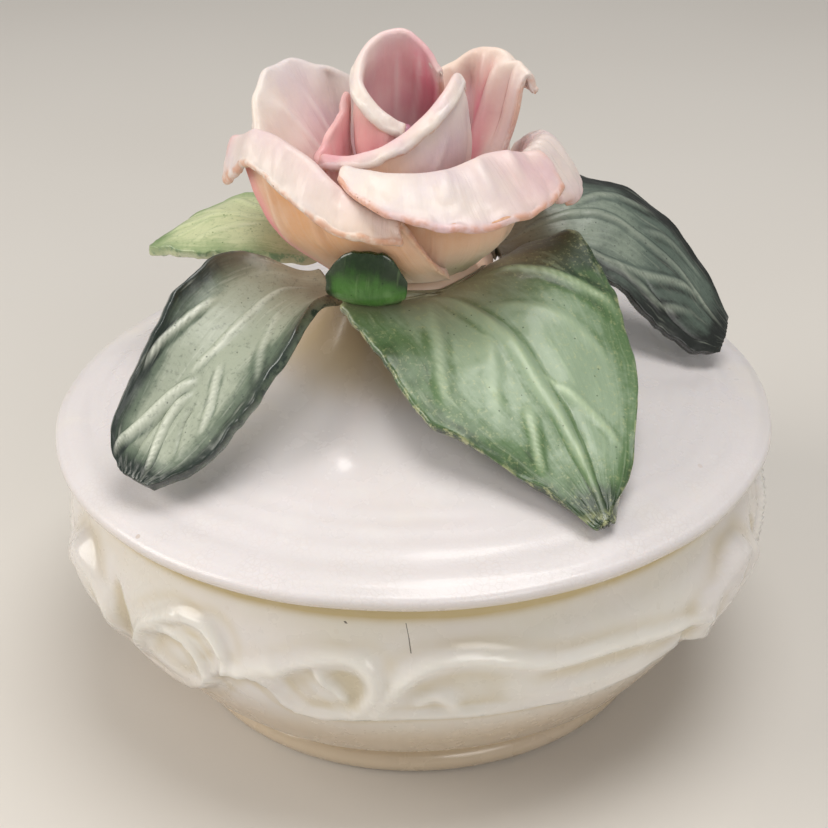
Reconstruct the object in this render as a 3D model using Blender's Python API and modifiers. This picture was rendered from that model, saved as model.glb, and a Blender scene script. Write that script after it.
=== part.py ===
"""Porcelain trinket box: a footed bowl, a lift-off lid, and a hand-built rose on four leaves.

Metres, +Z up. The origin is on the axis, in the plane that the foot ring stands on.
The front of the box faces -Y. The rose and the leaves are fired to the lid and lift with it.
"""

import math

import bpy
from mathutils import Vector

# Bowl
RIM_RADIUS = 0.0470        # outside of the bowl at its rim
BOWL_HEIGHT = 0.0377       # table to rim
BOWL_WALL = 0.0030
BELLY_SWELL = 0.0010       # how far the belly stands out beyond the rim
FOOT_RADIUS = 0.0345
FOOT_HEIGHT = 0.0036       # of the foot ring, up to the groove above it
FOOT_WALL = 0.0045
FOOT_RECESS = 0.0020       # how far the base stands above the table inside the foot ring

# Lid
LID_OVERHANG = 0.0030      # how far the lid reaches past the bowl's rim
LID_WALL = 0.0030
LID_EDGE = 0.0022          # thickness of the rounded edge
DOME_RISE = 0.0070         # edge to where the dome would peak without the boss
BOSS_RISE = 0.0120         # of the boss that carries the flower, above the dome
BOSS_FLARE = 0.0062        # how fast the boss spreads into the dome
FLANGE_WALL = 0.0022       # locating ring under the lid
FLANGE_DEPTH = 0.0044
FLANGE_CLEARANCE = 0.0008  # between the locating ring and the inside of the bowl

# Flower and leaves
ROSE_WIDTH = 0.0480        # across its outer petals
PETAL_WALL = 0.0009
BASE_LAP = 0.0006          # how far the flower's base spreads past the boss it stands on
LEAF_REACH = 0.0500        # axis to the tip of the longest leaf, near enough
LEAF_WALL = 0.0012
SEPAL_SEAT = 0.0024        # height of the sepal's foot above the boss, clear of the leaves' roots
GAP = 0.0003               # left between pieces that touch

TURN_STEPS = 48
PETAL_ROWS = 6
LEAF_ROWS = 8
LEAF_COLUMNS = 6
MERGE = 0.00005

BELLY_RADIUS = RIM_RADIUS + BELLY_SWELL
LID_RADIUS = RIM_RADIUS + LID_OVERHANG
SEAT = BOWL_HEIGHT + GAP                 # underside of the lid where it rests
LID_TOP = SEAT + LID_EDGE                # top of the lid's edge
BOSS_TOP = LID_TOP + DOME_RISE + BOSS_RISE
ROSE_UNIT = ROSE_WIDTH / 48              # petal tables are in millimetres, for a rose 48 mm wide
LEAF_UNIT = LEAF_REACH / 50              # leaf tables are in millimetres, for a reach of 50 mm
BASE_RADIUS = 10.8 * ROSE_UNIT           # of the flower's base, under the outermost petals
BOSS_RADIUS = BASE_RADIUS - BASE_LAP
LAYER_ROOM = max(PETAL_WALL - 0.9 * ROSE_UNIT, 0)   # for walls thicker than the 0.9 mm of the tables

# Each petal is a sheet that runs up from the rose's base to a crest, and then over into a lip.
# "base" is its radius and height at the bottom, "belly" the share of the height at which it is fullest,
# "waist" the share of its turn round the rose that is left at the base, "sway" how far round, in degrees,
# the base stands from its crest, and "layer" how many walls lie between it and the axis.
# Each station is (azimuth in degrees, belly radius, crest radius, crest height, lip out, lip down).
# Heights are above the top of the lid's boss.
PETALS = {
    "petal_bud": dict(layer=1, base=(2.2, 4.9), belly=0.55, waist=0.9, sway=0, stations=(
        (268, 5.6, 4.6, 21.0, 0.9, 0.2),
        (236, 6.0, 5.5, 23.0, 1.0, 0.2),
        (198, 6.1, 5.9, 26.2, 0.9, 0.2),
        (150, 6.0, 4.9, 29.2, 0.6, 0.0),
        (100, 5.8, 4.2, 30.8, 0.4, 0.0),
        (58, 5.7, 4.4, 28.8, 0.2, 0.0),
        (28, 5.6, 5.2, 25.6, 0.1, 0.0),
    )),
    "petal_inner_left": dict(layer=2, base=(3.6, 4.5), belly=0.6, waist=0.9, sway=0, stations=(
        (166, 7.6, 8.2, 24.4, 0.3, 0.0),
        (186, 7.8, 8.2, 22.2, 0.3, 0.0),
        (204, 8.4, 9.6, 19.4, 0.3, 0.0),
        (222, 8.6, 10.0, 17.5, 0.3, 0.0),
        (246, 7.8, 8.2, 17.6, 0.3, 0.0),
    )),
    "petal_inner_front": dict(layer=3, base=(5.0, 4.1), belly=0.6, waist=0.9, sway=0, stations=(
        (213, 10.6, 12.2, 18.2, 1.0, 0.3),
        (238, 10.2, 11.2, 19.0, 1.1, 0.3),
        (262, 9.6, 9.5, 20.8, 1.2, 0.3),
        (286, 9.2, 8.3, 23.2, 1.2, 0.4),
        (314, 8.6, 7.2, 25.4, 1.0, 0.4),
        (346, 8.2, 6.7, 26.4, 0.6, 0.3),
        (372, 8.0, 6.9, 23.4, 0.3, 0.0),
    )),
    "petal_back_left": dict(layer=4, base=(6.4, 3.7), belly=0.42, waist=0.8, sway=0, stations=(
        (183, 12.4, 18.4, 18.4, 0.9, -0.2),
        (168, 11.6, 18.8, 23.0, 0.9, -0.4),
        (150, 10.8, 18.0, 25.0, 0.9, -0.4),
        (133, 10.2, 15.0, 23.6, 0.9, -0.3),
        (112, 9.9, 12.0, 20.6, 0.8, -0.2),
    )),
    "petal_back_right": dict(layer=4, base=(6.4, 3.7), belly=0.45, waist=1.2, sway=0, stations=(
        (84, 9.8, 12.2, 20.8, 0.8, -0.2),
        (62, 9.8, 11.0, 23.4, 0.8, -0.2),
        (42, 10.0, 13.0, 26.4, 0.8, 0.0),
        (28, 10.8, 14.8, 26.2, 1.2, 0.4),
        (15, 12.4, 16.4, 24.4, 1.4, 1.6),
    )),
    "petal_outer_right": dict(layer=5, base=(7.8, 3.3), belly=0.42, waist=0.8, sway=0, stations=(
        (341, 12.2, 14.0, 15.6, 1.2, 1.0),
        (350, 13.2, 16.4, 17.8, 4.4, 6.0),
        (366, 13.8, 17.8, 17.6, 5.0, 7.0),
        (380, 14.4, 18.2, 16.4, 4.4, 5.4),
        (394, 14.2, 18.0, 13.4, 2.4, 2.4),
    )),
    "petal_outer_front": dict(layer=6, base=(9.2, 2.8), belly=0.36, waist=0.85, sway=0, stations=(
        (239, 12.0, 14.8, 18.8, 1.0, 0.4),
        (262, 12.6, 15.2, 18.8, 4.6, 2.0),
        (288, 13.6, 14.9, 18.8, 7.0, 3.8),
        (314, 15.4, 14.8, 19.6, 6.4, 5.0),
        (338, 14.4, 17.6, 18.2, 3.2, 3.6),
    )),
    "petal_outer_left": dict(layer=7, base=(11.9, 3.7), belly=0.36, waist=0.95, sway=30, stations=(
        (184, 17.4, 21.6, 19.4, 1.8, 5.0),
        (202, 16.8, 18.8, 21.6, 2.4, 2.6),
        (225, 16.0, 17.2, 20.2, 3.2, 3.2),
        (247, 15.6, 17.4, 16.2, 3.0, 2.6),
        (268, 15.2, 17.4, 13.4, 1.4, 1.2),
    )),
    "petal_outer_back_right": dict(layer=5, base=(7.8, 3.3), belly=0.42, waist=0.85, sway=0, stations=(
        (30, 12.6, 14.8, 13.2, 1.0, 0.6),
        (50, 13.8, 17.4, 16.4, 2.0, 1.4),
        (72, 14.2, 18.4, 17.6, 2.2, 1.8),
        (94, 13.8, 17.4, 16.0, 2.0, 1.4),
        (112, 13.0, 15.2, 12.6, 0.6, 0.4),
    )),
    "petal_outer_back_left": dict(layer=6, base=(9.2, 2.8), belly=0.42, waist=0.8, sway=0, stations=(
        (98, 15.2, 18.6, 11.4, 1.2, 0.8),
        (120, 15.2, 19.4, 16.4, 2.0, 1.4),
        (144, 15.6, 20.0, 17.6, 2.2, 1.8),
        (168, 15.6, 19.4, 15.8, 2.0, 1.4),
        (187, 14.6, 17.4, 12.4, 1.2, 0.8),
    )),
}

# Each leaf is a sheet laid over ribs from its root to its tip. A rib is its left, middle and right point,
# each (x, y, height above the lid's surface), seen from the root towards the tip with the top side up.
# The boss of the table has a radius of 10.2 mm, and a leaf moves out with a wider one.
LEAVES = {
    "leaf_front_left": (
        ((-8.0, -9.4, 5.1), (-9.7, -7.7, 5.2), (-11.4, -4.8, 6.6)),
        ((-12.0, -15.0, 11.6), (-16.5, -10.0, 10.9), (-23.5, -4.6, 17.5)),
        ((-16.8, -24.0, 10.8), (-23.5, -17.0, 11.5), (-30.6, -11.6, 18.0)),
        ((-21.6, -29.2, 7.6), (-28.6, -22.8, 8.8), (-34.8, -19.4, 14.4)),
        ((-27.2, -31.8, 4.4), (-32.4, -27.4, 5.9), (-37.6, -25.2, 8.9)),
        ((-32.4, -31.6, 3.1), (-34.6, -30.2, 3.5), (-36.6, -28.6, 4.2)),
    ),
    "leaf_front_right": (
        ((-7.0, -9.8, 4.5), (2.8, -12.0, 4.7), (11.6, -3.6, 5.2)),
        ((-7.4, -14.2, 8.0), (8.0, -12.6, 7.6), (20.6, 2.8, 14.6)),
        ((-3.8, -20.8, 8.2), (12.6, -17.0, 9.4), (26.4, -4.8, 13.2)),
        ((1.8, -28.4, 6.2), (17.0, -25.0, 7.1), (28.4, -17.0, 6.8)),
        ((9.6, -35.4, 3.4), (20.2, -33.0, 4.1), (27.0, -29.0, 4.3)),
        ((21.6, -40.4, 1.4), (22.4, -40.2, 1.6), (23.2, -39.8, 1.7)),
    ),
    "leaf_right": (
        ((9.6, 7.4, 5.0), (11.6, 3.6, 4.6), (12.0, -0.6, 4.8)),
        ((17.0, 15.0, 16.6), (18.6, 8.0, 13.2), (19.8, 5.8, 10.6)),
        ((25.2, 18.2, 19.7), (27.0, 10.4, 16.0), (28.6, 3.2, 8.7)),
        ((34.8, 16.6, 17.2), (35.4, 8.6, 12.7), (34.6, 0.8, 4.3)),
        ((41.6, 12.0, 11.4), (41.2, 5.6, 7.2), (39.8, -0.2, 2.5)),
        ((45.2, 7.0, 5.6), (44.6, 4.4, 4.0), (43.2, 1.8, 2.2)),
    ),
    "leaf_back_left": (
        ((-11.6, 2.6, 4.7), (-10.6, 5.8, 4.6), (-7.8, 9.4, 5.1)),
        ((-19.4, 3.6, 11.1), (-17.6, 9.4, 13.4), (-14.2, 15.6, 15.0)),
        ((-27.2, 4.4, 13.8), (-25.2, 11.4, 16.8), (-21.2, 18.4, 17.3)),
        ((-32.8, 6.8, 15.1), (-31.0, 12.4, 16.6), (-28.2, 17.6, 16.8)),
        ((-36.8, 9.6, 15.5), (-35.8, 10.9, 15.6), (-34.8, 12.2, 15.4)),
    ),
}

# The sepal stands up against the front of the rose: a low and a high rib of (azimuth, radius, height).
SEPAL = (
    ((234, 15.0, 0.0), (252, 15.4, 1.6), (270, 15.0, 0.0)),
    ((236, 16.6, 2.2), (252, 17.6, 4.2), (268, 16.8, 2.4)),
)


def clear_scene():
    for obj in list(bpy.data.objects):
        bpy.data.objects.remove(obj, do_unlink=True)


def along(values, t):
    """Reads a smooth curve through evenly spaced values at t, from 0 to 1 (Catmull-Rom)."""
    last = len(values) - 1
    place = min(max(t, 0.0), 1.0) * last
    i = min(int(place), last - 1)
    f = place - i
    b, c = values[i], values[i + 1]
    a = values[i - 1] if i > 0 else b * 2 - c
    d = values[i + 2] if i + 2 <= last else c * 2 - b
    return b + (c - a + (a * 2 - b * 5 + c * 4 - d + (b * 3 - c * 3 + d - a) * f) * f) * (f / 2)


def polar(azimuth, radius, height):
    """A point from an azimuth in degrees, a radius and a height."""
    a = math.radians(azimuth)
    return Vector((radius * math.cos(a), radius * math.sin(a), height))


def lid_height(radius):
    """Height of the lid's upper surface at a radius: a low dome that sweeps up into the boss."""
    dome = DOME_RISE * (1 - (radius / LID_RADIUS) ** 2)
    boss = BOSS_RISE * math.exp(-max(radius - BOSS_RADIUS, 0) / BOSS_FLARE)
    return LID_TOP + dome + boss


def arc(centre, radius, start, end, count):
    """Points on an arc in the X-Z plane, with angles in degrees from +X."""
    angles = [math.radians(start + (end - start) * i / (count - 1)) for i in range(count)]
    return [(centre[0] + radius * math.cos(a), centre[1] + radius * math.sin(a)) for a in angles]


def material(name, colour, roughness):
    mat = bpy.data.materials.new(name)
    mat.use_nodes = True
    shader = mat.node_tree.nodes["Principled BSDF"]
    shader.inputs["Base Color"].default_value = (*colour, 1)
    shader.inputs["Roughness"].default_value = roughness
    shader.inputs["Metallic"].default_value = 0
    return mat


def add_piece(name, mesh, mat, collection):
    mesh.materials.append(mat)
    obj = bpy.data.objects.new(name, mesh)
    collection.objects.link(obj)
    return obj


def turned(name, profile, mat, collection):
    """A body of revolution about Z from (radius, height) points that run down its outer side."""
    mesh = bpy.data.meshes.new(name)
    edges = [(i, i + 1) for i in range(len(profile) - 1)]
    mesh.from_pydata([(r, 0, z) for r, z in profile], edges, [])
    obj = add_piece(name, mesh, mat, collection)
    screw = obj.modifiers.new("turn", "SCREW")
    screw.steps = screw.render_steps = TURN_STEPS
    screw.use_merge_vertices = True
    screw.merge_threshold = MERGE
    screw.use_smooth_shade = True
    return obj


def sheet(name, point, columns, rows, wall, mat, collection):
    """A grid laid over point(u, v), u and v from 0 to 1, and given a wall."""
    bpy.ops.mesh.primitive_grid_add(x_subdivisions=columns, y_subdivisions=rows, size=1)
    grid = bpy.context.object
    mesh = grid.data
    for vertex in mesh.vertices:
        vertex.co = point(vertex.co.x + 0.5, vertex.co.y + 0.5)
    mesh.shade_smooth()
    bpy.data.objects.remove(grid)
    obj = add_piece(name, mesh, mat, collection)
    solidify = obj.modifiers.new("wall", "SOLIDIFY")
    solidify.thickness = wall
    solidify.offset = 0
    return obj


def bowl_profile():
    """Up the inside of the bowl, over the rim, down the belly to the foot ring, and in under the base."""
    floor = FOOT_RECESS + BOWL_WALL
    shoulder = FOOT_HEIGHT + 0.0006
    body = BOWL_HEIGHT - shoulder
    swell = BELLY_RADIUS - FOOT_RADIUS
    outer = [Vector(p) for p in (
        (RIM_RADIUS, shoulder + 0.96 * body),
        (0.4 * RIM_RADIUS + 0.6 * BELLY_RADIUS, shoulder + 0.86 * body),
        (BELLY_RADIUS, shoulder + 0.70 * body),
        (BELLY_RADIUS - 0.06 * swell, shoulder + 0.53 * body),
        (BELLY_RADIUS - 0.22 * swell, shoulder + 0.38 * body),
        (BELLY_RADIUS - 0.42 * swell, shoulder + 0.24 * body),
        (BELLY_RADIUS - 0.67 * swell, shoulder + 0.11 * body),
        (FOOT_RADIUS - 0.0006, shoulder),
    )]
    rim = BOWL_WALL / 2
    inner = [Vector((max(p.x - BOWL_WALL * (1.0 if p.y > floor + 0.012 else 1.15), 0), p.y)) for p in outer]
    inner = [p for p in inner if p.y > floor + 0.0018]
    inside = [(0, floor), (0.45 * FOOT_RADIUS, floor), (0.8 * FOOT_RADIUS, floor + 0.0004)]
    inside += [tuple(along(inner[::-1], i / 9)) for i in range(10)]
    lip = arc((RIM_RADIUS - rim, BOWL_HEIGHT - rim), rim, 150, 30, 5)
    outside = [tuple(along(outer, i / 12)) for i in range(13)]
    foot = [
        (FOOT_RADIUS, FOOT_HEIGHT - 0.0004),
        (FOOT_RADIUS + 0.0005, FOOT_HEIGHT / 2),
        (FOOT_RADIUS, 0.0006),
        (FOOT_RADIUS - 0.0007, 0),
        (FOOT_RADIUS - FOOT_WALL + 0.0006, 0),
        (FOOT_RADIUS - FOOT_WALL, 0.0006),
        (FOOT_RADIUS - FOOT_WALL - 0.0006, FOOT_RECESS),
        (0, FOOT_RECESS),
    ]
    return inside + lip + outside + foot


def lid_profile():
    """Out over the boss and dome to the edge, then in under the seat, the locating ring and the ceiling."""
    edge = LID_EDGE / 2
    boss_top = [(0, BOSS_TOP), (0.55 * BOSS_RADIUS, BOSS_TOP), (BOSS_RADIUS - 0.0004, BOSS_TOP - 0.0004)]
    span = LID_RADIUS - edge - BOSS_RADIUS
    radii = [BOSS_RADIUS + 0.0004 + span * (i / 14) ** 1.6 for i in range(14)]
    top = [(r, lid_height(r)) for r in radii]
    rounding = arc((LID_RADIUS - edge, SEAT + edge), edge, 80, -90, 6)
    ring_outer = RIM_RADIUS - BOWL_WALL - FLANGE_CLEARANCE
    ring_inner = ring_outer - FLANGE_WALL
    foot = SEAT - FLANGE_DEPTH
    chamfer = 0.0005
    ring = [
        (ring_outer, SEAT),
        (ring_outer, foot + chamfer),
        (ring_outer - chamfer, foot),
        (ring_inner + chamfer, foot),
        (ring_inner, foot + chamfer),
    ]
    ceiling = []
    for i in range(10):
        radius = ring_inner * (1 - i / 9) ** 1.3
        ceiling.append((radius, lid_height(radius + LID_WALL) - LID_WALL))
    return boss_top + top + rounding + ring + ceiling


def petal_point(petal, u, v):
    """The petal's middle surface: u runs round the rose and v from its base to the lip."""
    azimuths, bellies, radii, heights, outs, downs = zip(*petal["stations"])
    base_radius, base_height = petal["base"]
    room = petal["layer"] * LAYER_ROOM
    middle = (azimuths[0] + azimuths[-1]) / 2
    azimuth = along(azimuths, u)
    low_azimuth = middle + petal["sway"] + petal["waist"] * (azimuth - middle)
    crest_radius = along(radii, u)
    crest_height = along(heights, u)
    belly_height = base_height + petal["belly"] * (crest_height - base_height)
    profile = (
        Vector((low_azimuth, base_radius, base_height)),
        Vector(((azimuth + low_azimuth) / 2, along(bellies, u), belly_height)),
        Vector((azimuth, crest_radius, crest_height)),
        Vector((azimuth, crest_radius + along(outs, u), crest_height - along(downs, u))),
    )
    azimuth, radius, height = along(profile, v)
    return polar(azimuth, radius * ROSE_UNIT + room, height * ROSE_UNIT + BOSS_TOP)


def leaf_point(ribs, u, v):
    """The leaf's middle surface: u runs from its left edge to its right, and v from root to tip."""
    left, middle, right = (along([Vector(rib[side]) for rib in ribs], v) for side in range(3))
    across = 2 * u - 1
    point = middle + (right - left) * (across / 2) + ((left + right) / 2 - middle) * across**2
    azimuth = math.degrees(math.atan2(point.y, point.x))
    radius = BOSS_RADIUS + (math.hypot(point.x, point.y) - 10.2) * LEAF_UNIT
    return polar(azimuth, radius, lid_height(radius) + point.z * LEAF_UNIT)


def sepal_point(u, v):
    """The sepal's middle surface, which leans on the petals: u runs round the rose and v upwards."""
    low, high = (along([Vector(p) for p in rib], u) for rib in SEPAL)
    azimuth, radius, height = low.lerp(high, v)
    room = 8 * LAYER_ROOM
    return polar(azimuth, radius * ROSE_UNIT + room, height * ROSE_UNIT + BOSS_TOP + SEPAL_SEAT)


def build_bowl(glaze, collection):
    return turned("bowl", bowl_profile(), glaze, collection)


def build_lid(glaze, collection):
    return turned("lid", lid_profile(), glaze, collection)


def build_rose_base(clay, collection):
    """The button of clay on the boss that every petal is pressed against."""
    low = BOSS_TOP + GAP
    profile = [(0, 4.0), (0.24, 3.7), (0.48, 2.9), (0.7, 2.1), (0.89, 1.3), (1, 0.7), (1, 0), (0, 0)]
    return turned("rose_base", [(r * BASE_RADIUS, low + h * ROSE_UNIT) for r, h in profile], clay, collection)


def build_rose_heart(blush, collection):
    """The rolled cone at the middle that the first petal is wrapped round."""
    low = BOSS_TOP + GAP
    profile = [(0, 21.0), (0.8, 20.6), (1.7, 18.0), (2.3, 13.0), (1.9, 8.0), (1.3, 4.4), (0, 4.4)]
    return turned("rose_heart", [(r * ROSE_UNIT, low + h * ROSE_UNIT) for r, h in profile], blush, collection)


def build_petals(blush, collection):
    for name, petal in PETALS.items():
        shape = lambda u, v, petal=petal: petal_point(petal, u, v)
        sheet(name, shape, 2 * len(petal["stations"]), PETAL_ROWS, PETAL_WALL, blush, collection)


def build_leaves(green, collection):
    for name, ribs in LEAVES.items():
        shape = lambda u, v, ribs=ribs: leaf_point(ribs, u, v)
        sheet(name, shape, LEAF_COLUMNS, LEAF_ROWS, LEAF_WALL, green, collection)


def build_sepal(green, collection):
    sheet("sepal_front", sepal_point, LEAF_COLUMNS, 3, LEAF_WALL, green, collection)


def main():
    clear_scene()
    collection = bpy.data.collections.new("trinket_box")
    bpy.context.scene.collection.children.link(collection)
    glaze = material("porcelain_glaze", (0.80, 0.77, 0.71), 0.18)
    blush = material("petal_glaze", (0.84, 0.62, 0.56), 0.30)
    clay = material("petal_clay", (0.78, 0.62, 0.46), 0.35)
    green = material("leaf_glaze", (0.20, 0.30, 0.16), 0.28)
    build_bowl(glaze, collection)
    build_lid(glaze, collection)
    build_rose_base(clay, collection)
    build_rose_heart(blush, collection)
    build_petals(blush, collection)
    build_leaves(green, collection)
    build_sepal(green, collection)


main()
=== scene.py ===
"""Looks for a porcelain trinket box: glazed bowl and lid, hand-built rose and leaves, and a studio.

Shapes are worked out in millimetres and written to the meshes in metres. The front of the box faces -Y.
"""

import math

import bmesh
import bpy
import numpy as np
from mathutils import Matrix, Vector, noise


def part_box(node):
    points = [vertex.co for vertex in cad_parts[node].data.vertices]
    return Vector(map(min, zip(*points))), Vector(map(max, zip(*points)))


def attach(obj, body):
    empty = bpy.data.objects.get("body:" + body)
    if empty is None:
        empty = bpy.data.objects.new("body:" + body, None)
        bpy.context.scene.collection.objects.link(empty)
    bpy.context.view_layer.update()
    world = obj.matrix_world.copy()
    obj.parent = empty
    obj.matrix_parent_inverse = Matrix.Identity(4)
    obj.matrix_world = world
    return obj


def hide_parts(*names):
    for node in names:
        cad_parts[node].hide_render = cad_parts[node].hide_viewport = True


bl_info = {
    "name": "Porcelain Trinket Box",
    "version": (1, 0, 0),
    "blender": (4, 5, 0),
    "location": "View3D > Sidebar > Trinket Box",
    "description": "Builds a glazed bowl, its lid, and the rose and leaves that stand on it",
    "category": "Add Mesh",
}

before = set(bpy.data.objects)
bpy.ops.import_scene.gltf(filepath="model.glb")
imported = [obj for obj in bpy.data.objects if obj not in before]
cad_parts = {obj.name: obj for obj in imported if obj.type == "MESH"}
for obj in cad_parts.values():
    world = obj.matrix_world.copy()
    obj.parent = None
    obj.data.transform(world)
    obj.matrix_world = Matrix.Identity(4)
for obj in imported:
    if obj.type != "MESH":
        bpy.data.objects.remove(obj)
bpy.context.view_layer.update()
MM = 0.001

BOWL_LOW, BOWL_HIGH = (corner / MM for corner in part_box("bowl"))
LID_LOW, LID_HIGH = (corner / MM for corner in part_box("lid"))
BASE_LOW, BASE_HIGH = (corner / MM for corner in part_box("rose_base"))

# Millimetres. The lid rests just above the rim, and the flower stands on the lid's boss.
SEAT_GAP = 0.3
RING_CLEARANCE = 0.8     # between the lid's locating ring and the inside of the bowl
RIM_INSET = 1.0          # of the rim from the bowl's widest place
CASTING_WALL = 3.0
BASE_LAP = 0.6           # how far the flower's base spreads past the boss
SEAT = BOWL_HIGH.z + SEAT_GAP
LID_RADIUS = (LID_HIGH.x - LID_LOW.x) / 2
LID_EDGE = 2.2
LID_TOP = SEAT + LID_EDGE
BOSS_TOP = LID_HIGH.z
BOSS_RADIUS = (BASE_HIGH.x - BASE_LOW.x) / 2 - BASE_LAP
DOME_RISE = 7.0
BOSS_RISE = BOSS_TOP - LID_TOP - DOME_RISE
BOSS_FLARE = 6.2
VEIN_HEIGHT = 0.00022    # metres
SHEET_TALL = 36.0        # nominal height of a petal or leaf, by which creases and brush strokes are spaced
LEAF_WIDE = 26.0


def tint(code):
    """A display colour such as "E8DFD6" as the linear colour that a shader takes."""
    channels = [int(code[i:i + 2], 16) / 255 for i in (0, 2, 4)]
    return tuple(c / 12.92 if c < 0.04045 else ((c + 0.055) / 1.055) ** 2.4 for c in channels) + (1.0,)


def colour_setting(name, description, code):
    return bpy.props.FloatVectorProperty(
        name=name, description=description, subtype="COLOR", size=4, default=tint(code), min=0, max=1)


def length_setting(name, description, default):
    return bpy.props.FloatProperty(name=name, description=description, default=default, unit="LENGTH")


def angle_setting(name, description, degrees):
    return bpy.props.FloatProperty(
        name=name, description=description, default=math.radians(degrees), subtype="ANGLE")


def segment_setting(description, default):
    return bpy.props.IntProperty(name="Segments", description=description, default=default, min=48, max=720)


class BowlSettings(bpy.types.PropertyGroup):
    relief: bpy.props.FloatProperty(
        name="Relief", description="How boldly the moulded scrolls stand out",
        default=1.3, min=0.0, max=1.5)
    wall: length_setting("Wall", "Thickness of the bowl's wall", 0.003)
    turns: segment_setting("Segments round the bowl", 560)
    glaze: colour_setting("Glaze", "Colour of the glazed porcelain", "E2DED4")


class LidSettings(bpy.types.PropertyGroup):
    wall: length_setting("Wall", "Thickness of the lid's shell", 0.003)
    turns: segment_setting("Segments round the lid", 384)
    glaze: colour_setting("Glaze", "Colour of the glazed porcelain", "E0DBDB")


class RoseSettings(bpy.types.PropertyGroup):
    petal_wall: length_setting("Petal wall", "Thickness of a petal at its body", 0.00095)
    petal_edge: length_setting("Petal edge", "Thickness of a petal's rolled lip", 0.00125)
    cream: colour_setting("Cream", "Glaze of the petals where no colour is washed on", "EFE4DA")
    pink: colour_setting("Pink", "Wash at the heart of the flower", "EC93A2")
    peach: colour_setting("Peach", "Wash on the backs of the petals", "E8AC74")
    # Mauve is partly the wash's own tint and partly painted shade in the folds and the bud's throat.
    mauve_fold_shade: colour_setting("Mauve", "Wash in the folds and in the bud's throat", "9A6F94")


class LeafSettings(bpy.types.PropertyGroup):
    wall: length_setting("Wall", "Thickness of a leaf", 0.0013)
    vein: length_setting("Vein height", "How far the veins stand up from a leaf", VEIN_HEIGHT)


class StageSettings(bpy.types.PropertyGroup):
    floor: colour_setting("Floor", "Colour of the floor", "D9D5CF")
    elevation: angle_setting("Elevation", "Camera's height above the horizon", 28.5)
    distance: length_setting("Distance", "Camera to the middle of the box", 0.2195)
    view_angle: angle_setting("View angle", "Camera's field of view", 30)


# ---------------------------------------------------------------- shapes

def along(values, t):
    """Reads a smooth curve through evenly spaced values at t, from 0 to 1 (Catmull-Rom)."""
    last = len(values) - 1
    place = min(max(t, 0.0), 1.0) * last
    i = min(int(place), last - 1)
    f = place - i
    b, c = values[i], values[i + 1]
    a = values[i - 1] if i > 0 else b * 2 - c
    d = values[i + 2] if i + 2 <= last else c * 2 - b
    return b + (c - a + (a * 2 - b * 5 + c * 4 - d + (b * 3 - c * 3 + d - a) * f) * f) * (f / 2)


def ease(low, high, value):
    """0 below low, 1 above high, and smooth between them; low may be the larger."""
    x = np.clip((value - low) / (high - low), 0.0, 1.0)
    return x * x * (3 - 2 * x)


def polar(azimuth, radius, height):
    """A point from an azimuth in degrees, a radius and a height."""
    a = math.radians(azimuth)
    return Vector((radius * math.cos(a), radius * math.sin(a), height))


def arc(centre, radius, start, end, count):
    angles = [math.radians(start + (end - start) * i / (count - 1)) for i in range(count)]
    return [(centre[0] + radius * math.cos(a), centre[1] + radius * math.sin(a)) for a in angles]


def lid_height(radius):
    """Height of the lid's upper surface: a low dome that sweeps up into the boss."""
    dome = DOME_RISE * (1 - (radius / LID_RADIUS) ** 2)
    return LID_TOP + dome + BOSS_RISE * math.exp(-max(radius - BOSS_RADIUS, 0) / BOSS_FLARE)


def nearest(places, path):
    """Distance from each place to a path, and how far along the path that is, from 0 to 1."""
    best = np.full(places.shape[:-1], 1e9)
    share = np.zeros(places.shape[:-1])
    for i, (p, q) in enumerate(zip(path, path[1:])):
        start, run = np.array(p), np.array(q - p)
        t = np.clip((places - start) @ run / (run @ run), 0, 1)
        distance = np.linalg.norm(places - start - t[..., None] * run, axis=-1)
        near = distance < best
        best = np.where(near, distance, best)
        share = np.where(near, (i + t) / (len(path) - 1), share)
    return best, share


def wobble(point, size, seed=0.0):
    """Soft random swelling, between -1 and 1, with bumps about this many millimetres across."""
    return noise.noise(Vector(point) / size + Vector((seed, seed * 0.7, -seed)))


def new_piece(name, bm, body, stands_for, mats):
    """Turns a bmesh in millimetres into a piece of the object in metres."""
    bmesh.ops.scale(bm, vec=(MM, MM, MM), verts=bm.verts)
    mesh = bpy.data.meshes.new(name)
    bm.to_mesh(mesh)
    bm.free()
    mesh.shade_smooth()
    for mat in mats:
        mesh.materials.append(mat)
    piece = bpy.data.objects.new(name, mesh)
    bpy.context.scene.collection.objects.link(piece)
    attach(piece, body)
    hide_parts(*stands_for)
    return piece


def spun(profile, turns):
    """A bmesh turned about Z from (radius, height) points that run down its outer side."""
    bm = bmesh.new()
    verts = [bm.verts.new((0, -max(r, 0), z)) for r, z in profile]
    edges = [bm.edges.new(pair) for pair in zip(verts, verts[1:])]
    bmesh.ops.spin(
        bm, geom=verts + edges, cent=(0, 0, 0), axis=(0, 0, 1), angle=2 * math.pi, steps=turns,
        use_merge=True)
    bmesh.ops.remove_doubles(bm, verts=bm.verts, dist=0.0005)
    bmesh.ops.recalc_face_normals(bm, faces=bm.faces)
    return bm


def places_of(bm):
    return np.array([v.co for v in bm.verts])


def set_places(bm, places):
    for vertex, place in zip(bm.verts, places):
        vertex.co = place


def mark(bm, name, values):
    """Stores a number for each vertex, for a material to read."""
    layer = bm.verts.layers.float.new(name)
    for vertex, value in zip(bm.verts, values):
        vertex[layer] = float(value)


def mark_wash(bm, washes):
    """Stores how much of each colour is washed on at each vertex."""
    layer = bm.verts.layers.float_color.new("wash")
    for vertex, wash in zip(bm.verts, washes):
        vertex[layer] = wash


def push_out(places, radius, push):
    """Moves places away from the upright axis."""
    places[:, :2] *= (1 + push / np.maximum(radius, 1))[:, None]


def round_off(piece):
    subdivision = piece.modifiers.new("round off", "SUBSURF")
    subdivision.levels = subdivision.render_levels = 1
    return piece


# ---------------------------------------------------------------- materials

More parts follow.
